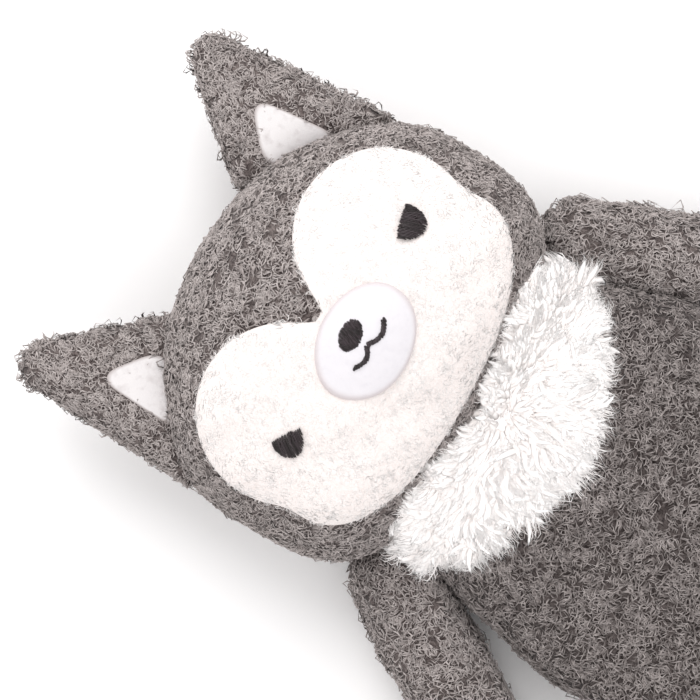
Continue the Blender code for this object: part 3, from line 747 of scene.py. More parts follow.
# ---- pieces ------------------------------------------------------------------------------------
@dataclass(frozen=True)
class Plan:
    """Where the plan's zero lies in the frame, in mm."""

    x: float
    y: float

    @classmethod
    def of_frame(cls) -> "Plan":
        """Takes the middle of the muzzle's felt."""
        low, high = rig.box("muzzle_felt")
        return cls((low.x + high.x) / 2 / MM, (low.y + high.y) / 2 / MM)

    def world(self, points: np.ndarray) -> np.ndarray:
        """Plan points as metres in the frame, kept clear of the floor."""
        moved = (np.asarray(points) + (self.x, self.y, 0)) * MM
        moved[..., 2] = np.maximum(moved[..., 2], FLOOR_CLEAR * MM)
        return moved

    def spot(self, x: float, y: float, z: float) -> tuple[float, float, float]:
        """One plan point in the frame."""
        return ((x + self.x) * MM, (y + self.y) * MM, z * MM)


class Workshop:
    """Makes pieces and keeps count of them."""

    def __init__(self, plan: Plan) -> None:
        """Keeps the plan that all pieces are laid out in."""
        self.plan = plan
        self.triangles = 0

    def piece(
        self,
        name: str,
        points: np.ndarray,
        faces: np.ndarray,
        material: bpy.types.Material,
        slot: Slot,
        attributes: dict[str, np.ndarray] | None = None,
        smooth: bool = True,
    ) -> bpy.types.Object:
        """Makes an object from whole arrays.

        Args:
            name: the piece's name.
            points: plan points in mm.
            faces: their triangles or quads, turned outwards here if they face in.
            material: what it is made of.
            slot: the record's slot for that.
            attributes: one number or vector per point, by name.
            smooth: whether its faces shade as one surface.

        Returns:
            The object, at the origin.
        """
        if volume(points, faces) < 0:
            faces = faces[:, ::-1]
        count, corners = faces.shape
        mesh = bpy.data.meshes.new(name)
        mesh.vertices.add(len(points))
        mesh.vertices.foreach_set("co", self.plan.world(points).astype(np.float32).ravel())
        mesh.loops.add(count * corners)
        mesh.loops.foreach_set("vertex_index", faces.astype(np.int32).ravel())
        mesh.polygons.add(count)
        mesh.polygons.foreach_set("loop_start", np.arange(count, dtype=np.int32) * corners)
        mesh.polygons.foreach_set("use_smooth", np.full(count, smooth))
        for key, values in (attributes or {}).items():
            values = np.asarray(values, np.float32)
            kind, field = ("FLOAT_VECTOR", "vector") if values.ndim == 2 else ("FLOAT", "value")
            mesh.attributes.new(key, kind, "POINT").data.foreach_set(field, values.ravel())
        mesh.update(calc_edges=True)
        mesh.validate()
        mesh.materials.append(material)
        thing = bpy.data.objects.new(name, mesh)
        bpy.context.scene.collection.objects.link(thing)
        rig.slot(thing, slot.value)
        self.triangles += count * (corners - 2)
        log.info("%s: %d points, %d faces", name, len(points), count)
        return thing

    def closed(
        self,
        name: str,
        grid: np.ndarray,
        material: bpy.types.Material,
        slot: Slot,
        attributes: dict[str, np.ndarray] | None = None,
    ) -> bpy.types.Object:
        """Makes a closed surface from rings whose first and last meet in a point.

        Args:
            name: the piece's name.
            grid: rings x points round each x 3; only one point of the end rings is used.
            material: what it is made of.
            slot: the record's slot for that.
            attributes: one number per grid point, by name.

        Returns:
            The object.
        """
        rows, columns, _ = grid.shape
        body = grid[1:-1].reshape(-1, 3)
        points = np.concatenate([grid[:1, 0], body, grid[-1:, 0]])
        quads = grid_quads(rows - 2, columns, True) + 1
        here = np.arange(columns)
        after = (here + 1) % columns
        last = 1 + (rows - 3) * columns
        caps = np.concatenate(
            [
                np.stack([np.zeros(columns, int), 1 + after, 1 + here], axis=1),
                np.stack([last + here, last + after, np.full(columns, len(points) - 1)], axis=1),
            ]
        )
        halves = np.concatenate([quads[:, [0, 1, 2]], quads[:, [0, 2, 3]]])
        kept = {
            key: np.concatenate([values[:1, 0], values[1:-1].ravel(), values[-1:, 0]])
            for key, values in (attributes or {}).items()
        }
        return self.piece(name, points, np.concatenate([caps, halves]), material, slot, kept)


@dataclass
class Skin:
    """A cloth surface to grow pile on or to lay things over, in plan mm."""

    points: np.ndarray
    normals: np.ndarray
    triangles: np.ndarray

    @classmethod
    def of(cls, thing: bpy.types.Object, plan: Plan) -> "Skin":
        """Reads a piece's triangles and smooth normals."""
        mesh = thing.data
        mesh.calc_loop_triangles()
        points = np.empty(len(mesh.vertices) * 3, np.float32)
        normals = np.empty(len(mesh.vertices) * 3, np.float32)
        triangles = np.empty(len(mesh.loop_triangles) * 3, np.int32)
        mesh.vertices.foreach_get("co", points)
        mesh.vertices.foreach_get("normal", normals)
        mesh.loop_triangles.foreach_get("vertices", triangles)
        laid = points.reshape(-1, 3).astype(float) / MM - (plan.x, plan.y, 0)
        return cls(laid, normals.reshape(-1, 3).astype(float), triangles.reshape(-1, 3))

    def corners(self) -> tuple[np.ndarray, np.ndarray, np.ndarray]:
        """The triangles' three corners."""
        return tuple(self.points[self.triangles[:, i]] for i in range(3))

    def area(self) -> float:
        """The surface in square mm."""
        a, b, c = self.corners()
        return float(np.linalg.norm(np.cross(b - a, c - a), axis=1).sum() / 2)

    def scatter(self, count: int, rng: np.random.Generator) -> tuple[np.ndarray, np.ndarray]:
        """Random places spread evenly over the surface.

        Args:
            count: how many.
            rng: the seeded source.

        Returns:
            The places and the smooth normals there.
        """
        a, b, c = self.corners()
        size = np.linalg.norm(np.cross(b - a, c - a), axis=1)
        pick = rng.choice(len(size), count, p=size / size.sum())
        u, v = rng.random((2, count, 1))
        over = u + v > 1
        u, v = np.where(over, 1 - u, u), np.where(over, 1 - v, v)
        shares = (1 - u - v, u, v)
        places = sum(w * self.points[self.triangles[pick, i]] for i, w in enumerate(shares))
        normals = sum(w * self.normals[self.triangles[pick, i]] for i, w in enumerate(shares))
        return places, unit(normals)

    def over(self, plan: np.ndarray, lift: np.ndarray | float) -> np.ndarray:
        """Points on the surface's upper side, moved out along its normal.

        Each plan point is weighed against the corners of the triangles it falls in, and the
        highest of them counts.

        Args:
            plan: points x 2.
            lift: mm out from the surface.

        Returns:
            Points x 3.
        """
        a, b, c = self.corners()
        ab, ac = (b - a)[:, :2], (c - a)[:, :2]
        size = ab[:, 0] * ac[:, 1] - ab[:, 1] * ac[:, 0]
        up = size > 1e-6
        a, ab, ac, size, corner = a[up], ab[up], ac[up], size[up], self.triangles[up]
        top = self.points[corner, 2].max(axis=1)
        found = np.zeros((len(plan), 3))
        lean = np.zeros((len(plan), 3))
        for start in range(0, len(plan), 400):
            part = plan[start : start + 400, None] - a[None, :, :2]
            v = (part[..., 0] * ac[:, 1] - part[..., 1] * ac[:, 0]) / size
            w = (part[..., 1] * ab[:, 0] - part[..., 0] * ab[:, 1]) / size
            miss = np.maximum(np.maximum(-v, -w), v + w - 1)
            pick = np.where(miss < 1e-6, -top, 1e3 + 1e3 * miss).argmin(axis=1)
            row = np.arange(len(pick))
            weights = np.maximum(np.stack([1 - v - w, v, w], axis=-1)[row, pick], 0)
            weights /= weights.sum(axis=1, keepdims=True)
            rows = slice(start, start + 400)
            found[rows] = np.einsum("ij,ijk->ik", weights, self.points[corner[pick]])
            found[rows, :2] = plan[rows]
            lean[rows] = np.einsum("ij,ijk->ik", weights, self.normals[corner[pick]])
        return found + unit(lean) * np.reshape(lift, (-1, 1))


@dataclass(frozen=True)
class Pile:
    """Fibres in tufts. Each strand of a tuft starts near its middle and closes in on its tip."""

    length: float  # mm
    width: float  # mm at a strand's thickest
    lift: float  # mm off the cloth at the highest
    tufts: float  # per square mm
    strands: int  # in each tuft
    spread: float  # mm from the tuft's middle to its outer strands
    pinch: float = 0.7  # how far the strands close in at the tip, 0 to 1
    swirl: float = 3.0  # radians that the lie turns from patch to patch
    patch: float = 9.0  # mm from patch to patch
    jitter: float = 0.5  # radians from tuft to tuft
    stray: float = 0.55  # radians from strand to strand in a tuft
    curl: float = 0.35  # how far a strand bows sideways, as a share of its length
    droop: float = 0.35  # how far the tip comes back down, as a share of the lift
    loose: float = 0.05  # share of strands that stand up above the rest
    glow: float = 0.0  # how far its light comes straight down, as scattered among fine white hairs
    sides: int = 3
    stations: tuple[float, ...] = (0.0, 0.3, 0.68, 1.0)
    girths: tuple[float, ...] = (1.0, 0.8)

    def lines(
        self, places: np.ndarray, normals: np.ndarray, comb: np.ndarray, seed: int, scale: np.ndarray
    ) -> tuple[np.ndarray, np.ndarray, np.ndarray]:
        """The strands' middle lines.

        A tuft's line runs along its lie by length * t, rises by lift * sin(1.9 t), comes back by
        the droop near the tip and bows sideways by curl * sin(pi t).

        Args:
            places: the tufts' middles on the cloth.
            normals: the cloth's normals there.
            comb: the direction that the pile is brushed in, before swirl and jitter.
            seed: for the random parts.
            scale: a factor on each tuft's length and lift.

        Returns:
            Paths as strands x stations x 3, radii and one shade per strand.
        """
        rng = np.random.default_rng(seed)
        count = len(places)
        lie = unit(comb - normals * (comb * normals).sum(axis=1, keepdims=True))
        cross = np.cross(normals, lie)
        each = (count, self.strands)
        angle = self.swirl * ripple(places, self.patch, seed + 1) + rng.normal(0, self.jitter, count)
        angle = (angle[:, None] + rng.normal(0, self.stray, each))[..., None]
        lie, cross = lie[:, None], cross[:, None]
        lie, cross = lie * np.cos(angle) + cross * np.sin(angle), cross * np.cos(angle) - lie * np.sin(angle)
        t = np.array(self.stations)
        tuft = scale * rng.uniform(0.75, 1.3, count)
        length = (tuft[:, None] * rng.uniform(0.8, 1.15, each) * self.length)[..., None]
        stand = np.where(rng.random(each) < self.loose, 1.9, rng.uniform(0.55, 1.15, each))
        height = (scale[:, None] * stand * self.lift)[..., None]
        bow = (rng.normal(0, 0.8, count)[:, None] + rng.normal(0, 0.7, each))[..., None] * self.curl
        rise = height * (np.sin(1.9 * t) - self.droop * t**3) - 0.5 * (1 - t)
        ahead = length * t
        sideways = bow * length * np.sin(math.pi * t * 0.9)
        around = rng.uniform(0, 2 * math.pi, each)
        away = (np.sqrt(rng.random(each)) * self.spread)[..., None] * (1 - self.pinch * t)
        ahead = ahead + away * np.cos(around)[..., None]
        sideways = sideways + away * np.sin(around)[..., None]
        paths = (
            places[:, None, None]
            + lie[:, :, None] * ahead[..., None]
            + cross[:, :, None] * sideways[..., None]
            + normals[:, None, None] * rise[..., None]
        )
        girth = rng.uniform(0.75, 1.2, (*each, 1)) * np.array(self.girths) * self.width / 2
        shade = 0.6 * rng.random(count)[:, None] + 0.4 * rng.random(each)
        strands = count * self.strands
        return paths.reshape(strands, -1, 3), girth.reshape(strands, -1), shade.reshape(strands)

    def grow(
        self,
        shop: Workshop,
        name: str,
        skin: Skin,
        material: bpy.types.Material,
        slot: Slot,
        comb: Field,
        keep: Field,
        seed: int,
        size: Field | None = None,
    ) -> list[bpy.types.Object]:
        """Grows the pile over a skin.

        Args:
            shop: where pieces are made.
            name: the pile's name; its pieces are numbered.
            skin: the cloth.
            material: the strands' finish.
            slot: the record's slot.
            comb: the brushed direction at places and normals.
            keep: the chance from 0 to 1 that a tuft grows at places and normals.
            seed: for the random parts.
            size: a factor on length and lift at places and normals.

        Returns:
            The pieces, each small enough to keep whole.
        """
        rng = np.random.default_rng(seed)
        places, normals = skin.scatter(int(skin.area() * self.tufts), rng)
        grown = rng.random(len(places)) < keep(places, normals)
        places, normals = places[grown], normals[grown]
        scale = size(places, normals) if size else np.ones(len(places))
        paths, girth, shade = self.lines(places, normals, comb(places, normals), seed, scale)
        lit = unit(normals * (1 - self.glow) + np.array([0, 0, self.glow]))
        upward = np.repeat(normals, self.strands, axis=0) + 0.01
        points, triangles = tubes(paths, girth, upward, self.sides)
        per = len(points) // len(paths)
        faces = len(triangles) // len(paths)
        rings = np.repeat(self.stations[1:-1], self.sides)
        tip = np.tile(np.concatenate([[0], rings, [1]]), len(paths))
        shade = np.repeat(shade, per)
        lean = np.repeat(lit, self.strands * per, axis=0)
        pieces = math.ceil(len(triangles) / PIECE_TRIANGLES)
        bounds = np.linspace(0, len(paths), pieces + 1).astype(int)
        made = []
        for number, (start, end) in enumerate(zip(bounds[:-1], bounds[1:]), 1):
            rows = slice(start * per, end * per)
            part = triangles[start * faces : end * faces] - start * per
            known = {"tip": tip[rows], "shade": shade[rows], "cloth_normal": lean[rows]}
            made.append(shop.piece(f"{name}_{number}", points[rows], part, material, slot, known))
        return made


def plate_grid(outline: np.ndarray, surface: Surface, rings: int) -> tuple[np.ndarray, np.ndarray]:
    """A closed plate as rings: from its middle out over the top, then back in below.

    Ring k of the top is the outline drawn towards its middle by sin(k / rings * pi / 2).

    Args:
        outline: closed outline in plan.
        surface: gives the upper and lower points for plan points and their share of the way out.
        rings: how many rings the top has.

    Returns:
        The grid of points, and each one's share of the way out.
    """
    middle = outline.mean(axis=0)
    shares = np.sin(np.linspace(0, 1, rings + 1) * math.pi / 2)
    plan = middle + (outline - middle) * shares[:, None, None]
    share = np.broadcast_to(shares[:, None], plan.shape[:2])
    top, bottom = surface(plan.reshape(-1, 2), share.ravel())
    top, bottom = top.reshape(*plan.shape[:2], 3), bottom.reshape(*plan.shape[:2], 3)
    return np.concatenate([top, bottom[::-1]]), np.concatenate([share, share[::-1]])


def shown_side(places: np.ndarray, normals: np.ndarray) -> np.ndarray:
    """Full pile on the front and sides, thinner where the puppet lies on it."""
    return np.where(normals[:, 2] < -0.75, 0.3, np.where(normals[:, 2] < -0.35, 0.65, 1.0))


def one_way(x: float, y: float) -> Field:
    """A comb that brushes everything towards one direction of the plan."""

    def comb(places: np.ndarray, normals: np.ndarray) -> np.ndarray:
        """The same direction everywhere, a little off level so that it never meets a normal."""
        return np.tile((x, y, 0.02), (len(places), 1))

    return comb


# ---- head --------------------------------------------------------------------------------------
@dataclass
class Head:
    """The stuffed head: one skin round a flat side seam, full over the face and level below."""

    shop: Workshop
    finishes: Finishes
    half_width: float = 69.5
    half_length: float = 51.6
    centre_y: float = 8.6
    seam_z: float = 37.0
    rise: float = 38.0
    drop: float = 39.5
    crown: float = 2.0  # fullness of the outline above its middle
    chin: float = 3.6  # and below
    lumps: float = 0.5  # mm that the filling shows through

    def skin_grid(self, rings: int = 40, columns: int = 132) -> np.ndarray:
        """Rings from the middle of the face to the middle of the back.

        Across, a ring is a superellipse; its height over the seam is sqrt(1 - share ** 2.4).
        """
        turn = np.arange(columns) / columns * 2 * math.pi
        across, up = superellipse(turn, np.where(np.sin(turn) > 0, self.crown, self.chin))
        lean = np.linspace(0, math.pi, 2 * rings + 1)
        share = np.sin(lean)[:, None]
        swell = np.sqrt(np.maximum(1 - share**2.4, 0)) * np.sign(np.cos(lean))[:, None]
        x = self.half_width * share * across
        y = self.centre_y + self.half_length * share * up
        z = self.seam_z + np.where(swell > 0, self.rise, self.drop) * swell
        grid = np.stack([x, y, z + 0 * x], axis=-1)
        away = unit(grid - (0, self.centre_y, self.seam_z))
        return grid + away * (self.lumps * ripple(grid, 30, 5))[..., None]

    def build(self) -> Skin:
        """Makes the head's cloth and returns it as a skin."""
        thing = self.shop.closed("head_cloth", self.skin_grid(), self.finishes.grey_ground, Slot.GREY_PLUSH)
        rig.ride(thing, "head")
        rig.replaces(thing, "head_front_panel", "head_back_panel")
        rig.padded(thing, fill=0.85)
        return Skin.of(thing, self.shop.plan)

    def grow_pile(self, skin: Skin, bare: np.ndarray, pile: Pile) -> None:
        """Covers the head outside the mask.

        Args:
            skin: the head's cloth.
            bare: the mask's outline, where no grey pile grows.
            pile: the grey pile.
        """

        def keep(places: np.ndarray, normals: np.ndarray) -> np.ndarray:
            """No pile below the mask."""
            covered = inside(places[:, :2], bare) & (normals[:, 2] > 0)
            return np.where(covered, 0.0, shown_side(places, normals))

        for thing in pile.grow(
            self.shop,
            "head_pile",
            skin,
            self.finishes.grey_strands,
            Slot.GREY_PLUSH,
            one_way(0.15, -1.0),
            keep,
            11,
        ):
            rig.ride(thing, "head")


@dataclass
class Mask:
    """The white face: two round lobes above and one wide oval below, laid on the head's front."""

    shop: Workshop
    finishes: Finishes
    lobe_x: float = 31.0
    lobe_y: float = 10.0
    lobe_radius: float = 28.6
    cheek_half_width: float = 57.0
    cheek_half_height: float = 26.0
    cheek_y: float = -10.0
    cheek_fullness: float = 2.3
    lift: float = 0.9
    thickness: float = 2.2
    middle_y: float = -4.0

    def outline(self, grown: float = 0.0, count: int = 200) -> np.ndarray:
        """The farthest of the lobes and the oval each way from the middle.

        Args:
            grown: mm that the outline is moved outwards.
            count: its points.

        Returns:
            Closed plan outline.
        """
        turn = (np.arange(count) + 0.5) / count * 2 * math.pi
        away = np.stack([np.cos(turn), np.sin(turn)], axis=1)
        reach = np.zeros(count)
        rise = self.lobe_y - self.middle_y
        for side in Side:
            towards = away @ np.array([self.lobe_x * side.sign, rise])
            within = towards**2 - (self.lobe_x**2 + rise**2 - self.lobe_radius**2)
            reach = np.maximum(reach, np.where(within > 0, towards + np.sqrt(np.maximum(within, 0)), 0))
        dense = np.arange(720) / 720 * 2 * math.pi
        across, up = superellipse(dense, self.cheek_fullness)
        x = across * self.cheek_half_width
        y = up * self.cheek_half_height + self.cheek_y - self.middle_y
        angle = np.mod(np.arctan2(y, x), 2 * math.pi)
        order = np.argsort(angle)
        cheek = np.interp(turn, angle[order], np.hypot(x, y)[order], period=2 * math.pi)
        outline = away * (np.maximum(reach, cheek) + grown)[:, None] + (0, self.middle_y)
        return softened(outline, 2)

    def build(self, head: Skin) -> Skin:
        """Lays the mask's cloth over the head, its edge rolled under."""
        outline = even_outline(self.outline(), 180)

        def surface(plan: np.ndarray, share: np.ndarray) -> tuple[np.ndarray, np.ndarray]:
            """Even thickness, rounding off over the last few mm."""
            round_off = np.sqrt(np.maximum(1 - np.maximum((share - 0.9) / 0.1, 0) ** 2, 0))
            base = head.over(plan, 0.0)
            normal = head.over(plan, 1.0) - base
            low = base + normal * self.lift * 0.3
            bulk = self.thickness + 0.35 * ripple(base, 16, 8)
            return low + normal * (0.7 * self.lift + bulk * round_off)[:, None], low

        grid, _ = plate_grid(outline, surface, 26)
        thing = self.shop.closed("face_mask_cloth", grid, self.finishes.white_ground, Slot.WHITE_PLUSH)
        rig.ride(thing, "head")
        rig.replaces(thing, "face_mask")
        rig.sheet(thing, flat=(0.118, 0.080), held="laid", rests_on=["head_cloth"], area=0.0094)
        return Skin.of(thing, self.shop.plan)

    def grow_pile(self, skin: Skin, bare: np.ndarray) -> None:
        """Short white pile, brushed outwards past the mask's edge.

        Args:
            skin: the mask's cloth.
            bare: the muzzle's outline.
        """

        def comb(places: np.ndarray, normals: np.ndarray) -> np.ndarray:
            """Outwards from the middle."""
            return unit(places - (0, self.middle_y, 0)) * (1, 1.3, 0) + (0, 0, 0.02)

        def keep(places: np.ndarray, normals: np.ndarray) -> np.ndarray:
            """On the upper side, outside the muzzle."""
            return np.where(inside(places[:, :2], bare) | (normals[:, 2] < -0.1), 0.0, 1.0)

        pile = Pile(
            length=2.3,
            width=0.3,
            lift=0.42,
            tufts=0.36,
            strands=3,
            spread=0.9,
            pinch=0.3,
            swirl=1.9,
            patch=10,
            jitter=0.7,
            curl=0.5,
            loose=0.02,
        )
        for thing in pile.grow(
            self.shop, "mask_pile", skin, self.finishes.white_strands, Slot.WHITE_PLUSH, comb, keep, 21
        ):
            thing.visible_shadow = False  # fine white fibre lets the light through to the cloth
            thing.visible_diffuse = False
            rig.ride(thing, "head")


@dataclass
class Muzzle:
    """A felt oval over wadding, with an embroidered nose and mouth."""

    shop: Workshop
    finishes: Finishes
    half_width: float = 19.0
    half_height: float = 14.2
    rise: float = 3.7
    felt: float = 1.1
    base: float = 3.45  # mm from the head's cloth to the felt's lower face at its edge
    nose_half: tuple[float, float] = (4.8, 3.0)
    nose_y: float = 5.5
    mouth_half: float = 9.2
    mouth_dip: float = 2.3
    mouth_peak: float = 0.7  # of its middle over its ends
    mouth_middle: tuple[float, float] = (0.2, 0.5)

    def outline(self, grown: float = 0.0) -> np.ndarray:
        """An oval."""
        turn = np.arange(120) / 120 * 2 * math.pi
        reach = np.array([self.half_width, self.half_height]) + grown
        return np.stack([np.cos(turn), np.sin(turn)], axis=1) * reach

    def lift(self, plan: np.ndarray) -> np.ndarray:
        """How far the felt's upper face stands off the head's cloth."""
        share = np.minimum(np.hypot(plan[:, 0] / self.half_width, plan[:, 1] / self.half_height), 1)
        return self.base + self.felt + self.rise * (1 - share**2.2)

    def build(self, head: Skin) -> None:
        """Makes the felt: a dome whose edge turns down to the mask."""

        def surface(plan: np.ndarray, share: np.ndarray) -> tuple[np.ndarray, np.ndarray]:
            """The dome above, the same less the felt's thickness below."""
            edge = np.maximum((share - 0.93) / 0.07, 0) ** 2
            top = self.lift(plan) - edge * 1.3 + 0.06 * ripple(np.column_stack([plan, share]), 5, 3)
            return head.over(plan, top), head.over(plan, top - self.felt * (1 - 0.45 * edge))

        grid, share = plate_grid(self.outline(), surface, 24)
        # the rim share carries the felt's painted shade round its edge
        thing = self.shop.closed(
            "muzzle_felt_dome", grid, self.finishes.felt, Slot.WHITE_FELT, {"rim": share}
        )
        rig.ride(thing, "head")
        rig.replaces(thing, "muzzle_felt")
        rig.sheet(thing, flat=(0.040, 0.031), held="stretched", rests_on=["face_mask_cloth"], area=0.00105)
        self.sew(head)

    def sew(self, head: Skin) -> None:
        """Embroiders the nose in satin stitch and the mouth in stem stitch."""
        turn = np.arange(48) / 48 * 2 * math.pi
        nose = np.stack([np.cos(turn), np.sin(turn)], axis=1) * self.nose_half + (0, self.nose_y)
        needle = Needle(self.shop, self.finishes.thread)
        patch = needle.satin("nose_satin_stitch", nose, head, self.lift, math.radians(70), 31, 1.7)
        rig.ride(patch, "head")
        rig.replaces(patch, "nose_embroidery")
        across = np.linspace(-1, 1, 90)
        dip = np.sin(np.abs(across) * math.pi) * self.mouth_dip
        fall = dip + self.mouth_peak * np.abs(across)
        path = np.stack([across * self.mouth_half, -fall], axis=1) + self.mouth_middle
        line = needle.stem("mouth_stem_stitch", path, head, self.lift, 33)
        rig.ride(line, "head")
        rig.replaces(line, "mouth_embroidery")


@dataclass
class Needle:
    """Embroidery: every stitch is its own thread, going down at both ends."""

    shop: Workshop
    material: bpy.types.Material
    pitch: float = 0.42  # mm from row to row of satin stitch
    width: float = 0.5
    proud: float = 0.75  # mm that a long stitch bows up
    overlap: float = 0.4  # mm that broken rows run past each other
    stem_step: float = 0.85
    stem_slant: float = 0.7
    stem_width: float = 0.9

    def stitches(
        self, name: str, ends: np.ndarray, skin: Skin, lift: Height, width: float, seed: int
    ) -> bpy.types.Object:
        """Threads from end to end over a skin.

        Args:
            name: the piece's name.
            ends: stitches x 2 ends x 2 plan coordinates.
            skin: the surface below.
            lift: the ground's height over that surface at plan points.
            width: of the thread, mm.
            seed: for each stitch's shade.

        Returns:
            One piece holding every stitch.
        """
        rng = np.random.default_rng(seed)
        t = np.array([0, 0.06, 0.2, 0.4, 0.6, 0.8, 0.94, 1])
        plan = ends[:, :1] * (1 - t)[:, None] + ends[:, 1:] * t[:, None]
        flat = plan.reshape(-1, 2)
        length = np.linalg.norm(ends[:, 1] - ends[:, 0], axis=1)
        arch = np.sqrt(np.sin(np.pi * np.clip(t, 0.015, 0.985)))
        bulge = self.proud * arch * np.minimum(length / 3, 1)[:, None]
        height = lift(flat).reshape(len(ends), -1) + bulge - 0.35 + rng.uniform(0, 0.12, (len(ends), 1))
        points = skin.over(flat, height.ravel()).reshape(len(ends), len(t), 3)
        girths = np.tile([0.8, 1, 1, 1, 1, 0.8], (len(ends), 1))
        radii = girths * width / 2 * rng.uniform(0.9, 1.1, (len(ends), 1))
        upward = np.tile((0.01, 0.01, 1.0), (len(ends), 1))
        body, faces = tubes(points, radii, upward, sides=6)
        shade = np.repeat(rng.random(len(ends)), len(body) // len(ends))
        return self.shop.piece(name, body, faces, self.material, Slot.BLACK_THREAD, {"shade": shade})

    def satin(
        self,
        name: str,
        outline: np.ndarray,
        skin: Skin,
        lift: Height,
        way: float,
        seed: int,
        longest: float = 20.0,
    ) -> bpy.types.Object:
        """Fills an outline with parallel stitches, a little ragged at their ends.

        Args:
            name: the piece's name.
            outline: closed plan outline, crossed twice by any line along the stitches.
            skin: the surface below.
            lift: the ground's height over that surface.
            way: the stitches' direction in plan, radians.
            seed: for the ragged ends.
            longest: mm that a stitch may span; longer rows are broken like bricks.

        Returns:
            The patch.
        """
        rng = np.random.default_rng(seed)
        along = np.array([math.cos(way), math.sin(way)])
        over = np.array([-along[1], along[0]])
        u, v = outline @ along, outline @ over
        rows = np.arange(v.min() + 0.15, v.max() - 0.1, self.pitch)
        v1, u1 = np.roll(v, -1), np.roll(u, -1)
        share = (rows[:, None] - v) / np.where(v1 == v, 1e-9, v1 - v)
        hit = (share >= 0) & (share < 1)
        crossing = u + (u1 - u) * share
        low = np.where(hit, crossing, np.inf).min(axis=1) - rng.uniform(0, 0.35, len(rows))
        high = np.where(hit, crossing, -np.inf).max(axis=1) + rng.uniform(0, 0.35, len(rows))
        phase = low[:, None] - rng.uniform(0, longest, (len(rows), 1))
        cuts = phase + np.arange(int((high - low).max() / longest) + 3) * longest
        start = np.maximum(cuts[:, :-1] - self.overlap, low[:, None])
        stop = np.minimum(cuts[:, 1:] + self.overlap, high[:, None])
        row, column = np.nonzero(stop - start > 0.9)
        rows, low, high = rows[row], start[row, column], stop[row, column]
        ends = np.stack([low[:, None] * along, high[:, None] * along], axis=1)
        ends = ends + (rows[:, None] * over)[:, None]
        slant = rng.uniform(-0.12, 0.12, (len(rows), 2, 1)) * over
        return self.stitches(name, ends + slant, skin, lift, self.width, seed)

    def stem(self, name: str, path: np.ndarray, skin: Skin, lift: Height, seed: int) -> bpy.types.Object:
        """Slanting stitches that overlap along a line.

        Args:
            name: the piece's name.
            path: open plan line.
            skin: the surface below.
            lift: the ground's height over that surface.
            seed: for small differences.

        Returns:
            The line.
        """
        rng = np.random.default_rng(seed)
        length = np.concatenate([[0], np.cumsum(np.linalg.norm(np.diff(path, axis=0), axis=1))])

        def spot(at: np.ndarray) -> np.ndarray:
            """The line's points at distances along it."""
            return np.stack([np.interp(at, length, path[:, i]) for i in (0, 1)], axis=1)

        start = np.arange(0, length[-1] - 1.2, self.stem_step)
        ends = []
        for at, off in ((start, -self.stem_slant), (start + 2 * self.stem_step, self.stem_slant)):
            run = unit(spot(at + 0.3) - spot(at - 0.3))
            over = np.stack([-run[:, 1], run[:, 0]], axis=1)
            ends.append(spot(at) + over * off + rng.normal(0, 0.07, over.shape))
        return self.stitches(name, np.stack(ends, axis=1), skin, lift, self.stem_width, seed)


@dataclass
class Eyes:
    """Two half moons in satin stitch, slanting up to the outside."""

    shop: Workshop
    finishes: Finishes
    x: float = 38.0
    y: float = 4.8
    mask_height: float = 3.6  # mm from the head's cloth to the top of the mask
    half_widths: tuple[float, float] = (5.5, 4.9)  # left, right
    depths: tuple[float, float] = (8.0, 7.0)
    slants: tuple[float, float] = (math.radians(15), math.radians(35))

    def outline(self, side: Side) -> np.ndarray:
        """A round below, a nearly straight lid above."""
        number = list(Side).index(side)
        wide, deep, slant = self.half_widths[number], self.depths[number], self.slants[number]
        low = np.linspace(math.pi, 2 * math.pi, 40)
        round_part = np.stack([wide * np.cos(low), deep * np.sin(low)], axis=1)
        across = np.linspace(wide, -wide, 16)[1:-1]
        lid = np.stack([across, 0.6 * np.cos(across / wide * math.pi / 2)], axis=1)
        shape = np.concatenate([round_part, lid]) + (0, deep * 0.4)
        turned = np.array([[math.cos(slant), math.sin(slant)], [-math.sin(slant), math.cos(slant)]])
        return (shape @ turned + (self.x, self.y)) * (side.sign, 1)

    def build(self, head: Skin) -> None:
        """Sews both eyes on the mask."""
        needle = Needle(self.shop, self.finishes.thread, proud=1.1)

        def mask_top(plan: np.ndarray) -> np.ndarray:
            """The mask's upper face over the head's cloth, with its pile pressed down."""
            return np.full(len(plan), self.mask_height)

        for number, side in enumerate(Side):
            way = math.pi / 2 + side.sign * self.slants[number]
            patch = needle.satin(
                f"eye_satin_stitch_{side.value}", self.outline(side), head, mask_top, way, 41 + number
            )
            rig.ride(patch, "head")
            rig.replaces(patch, f"eye_embroidery_{side.value}")


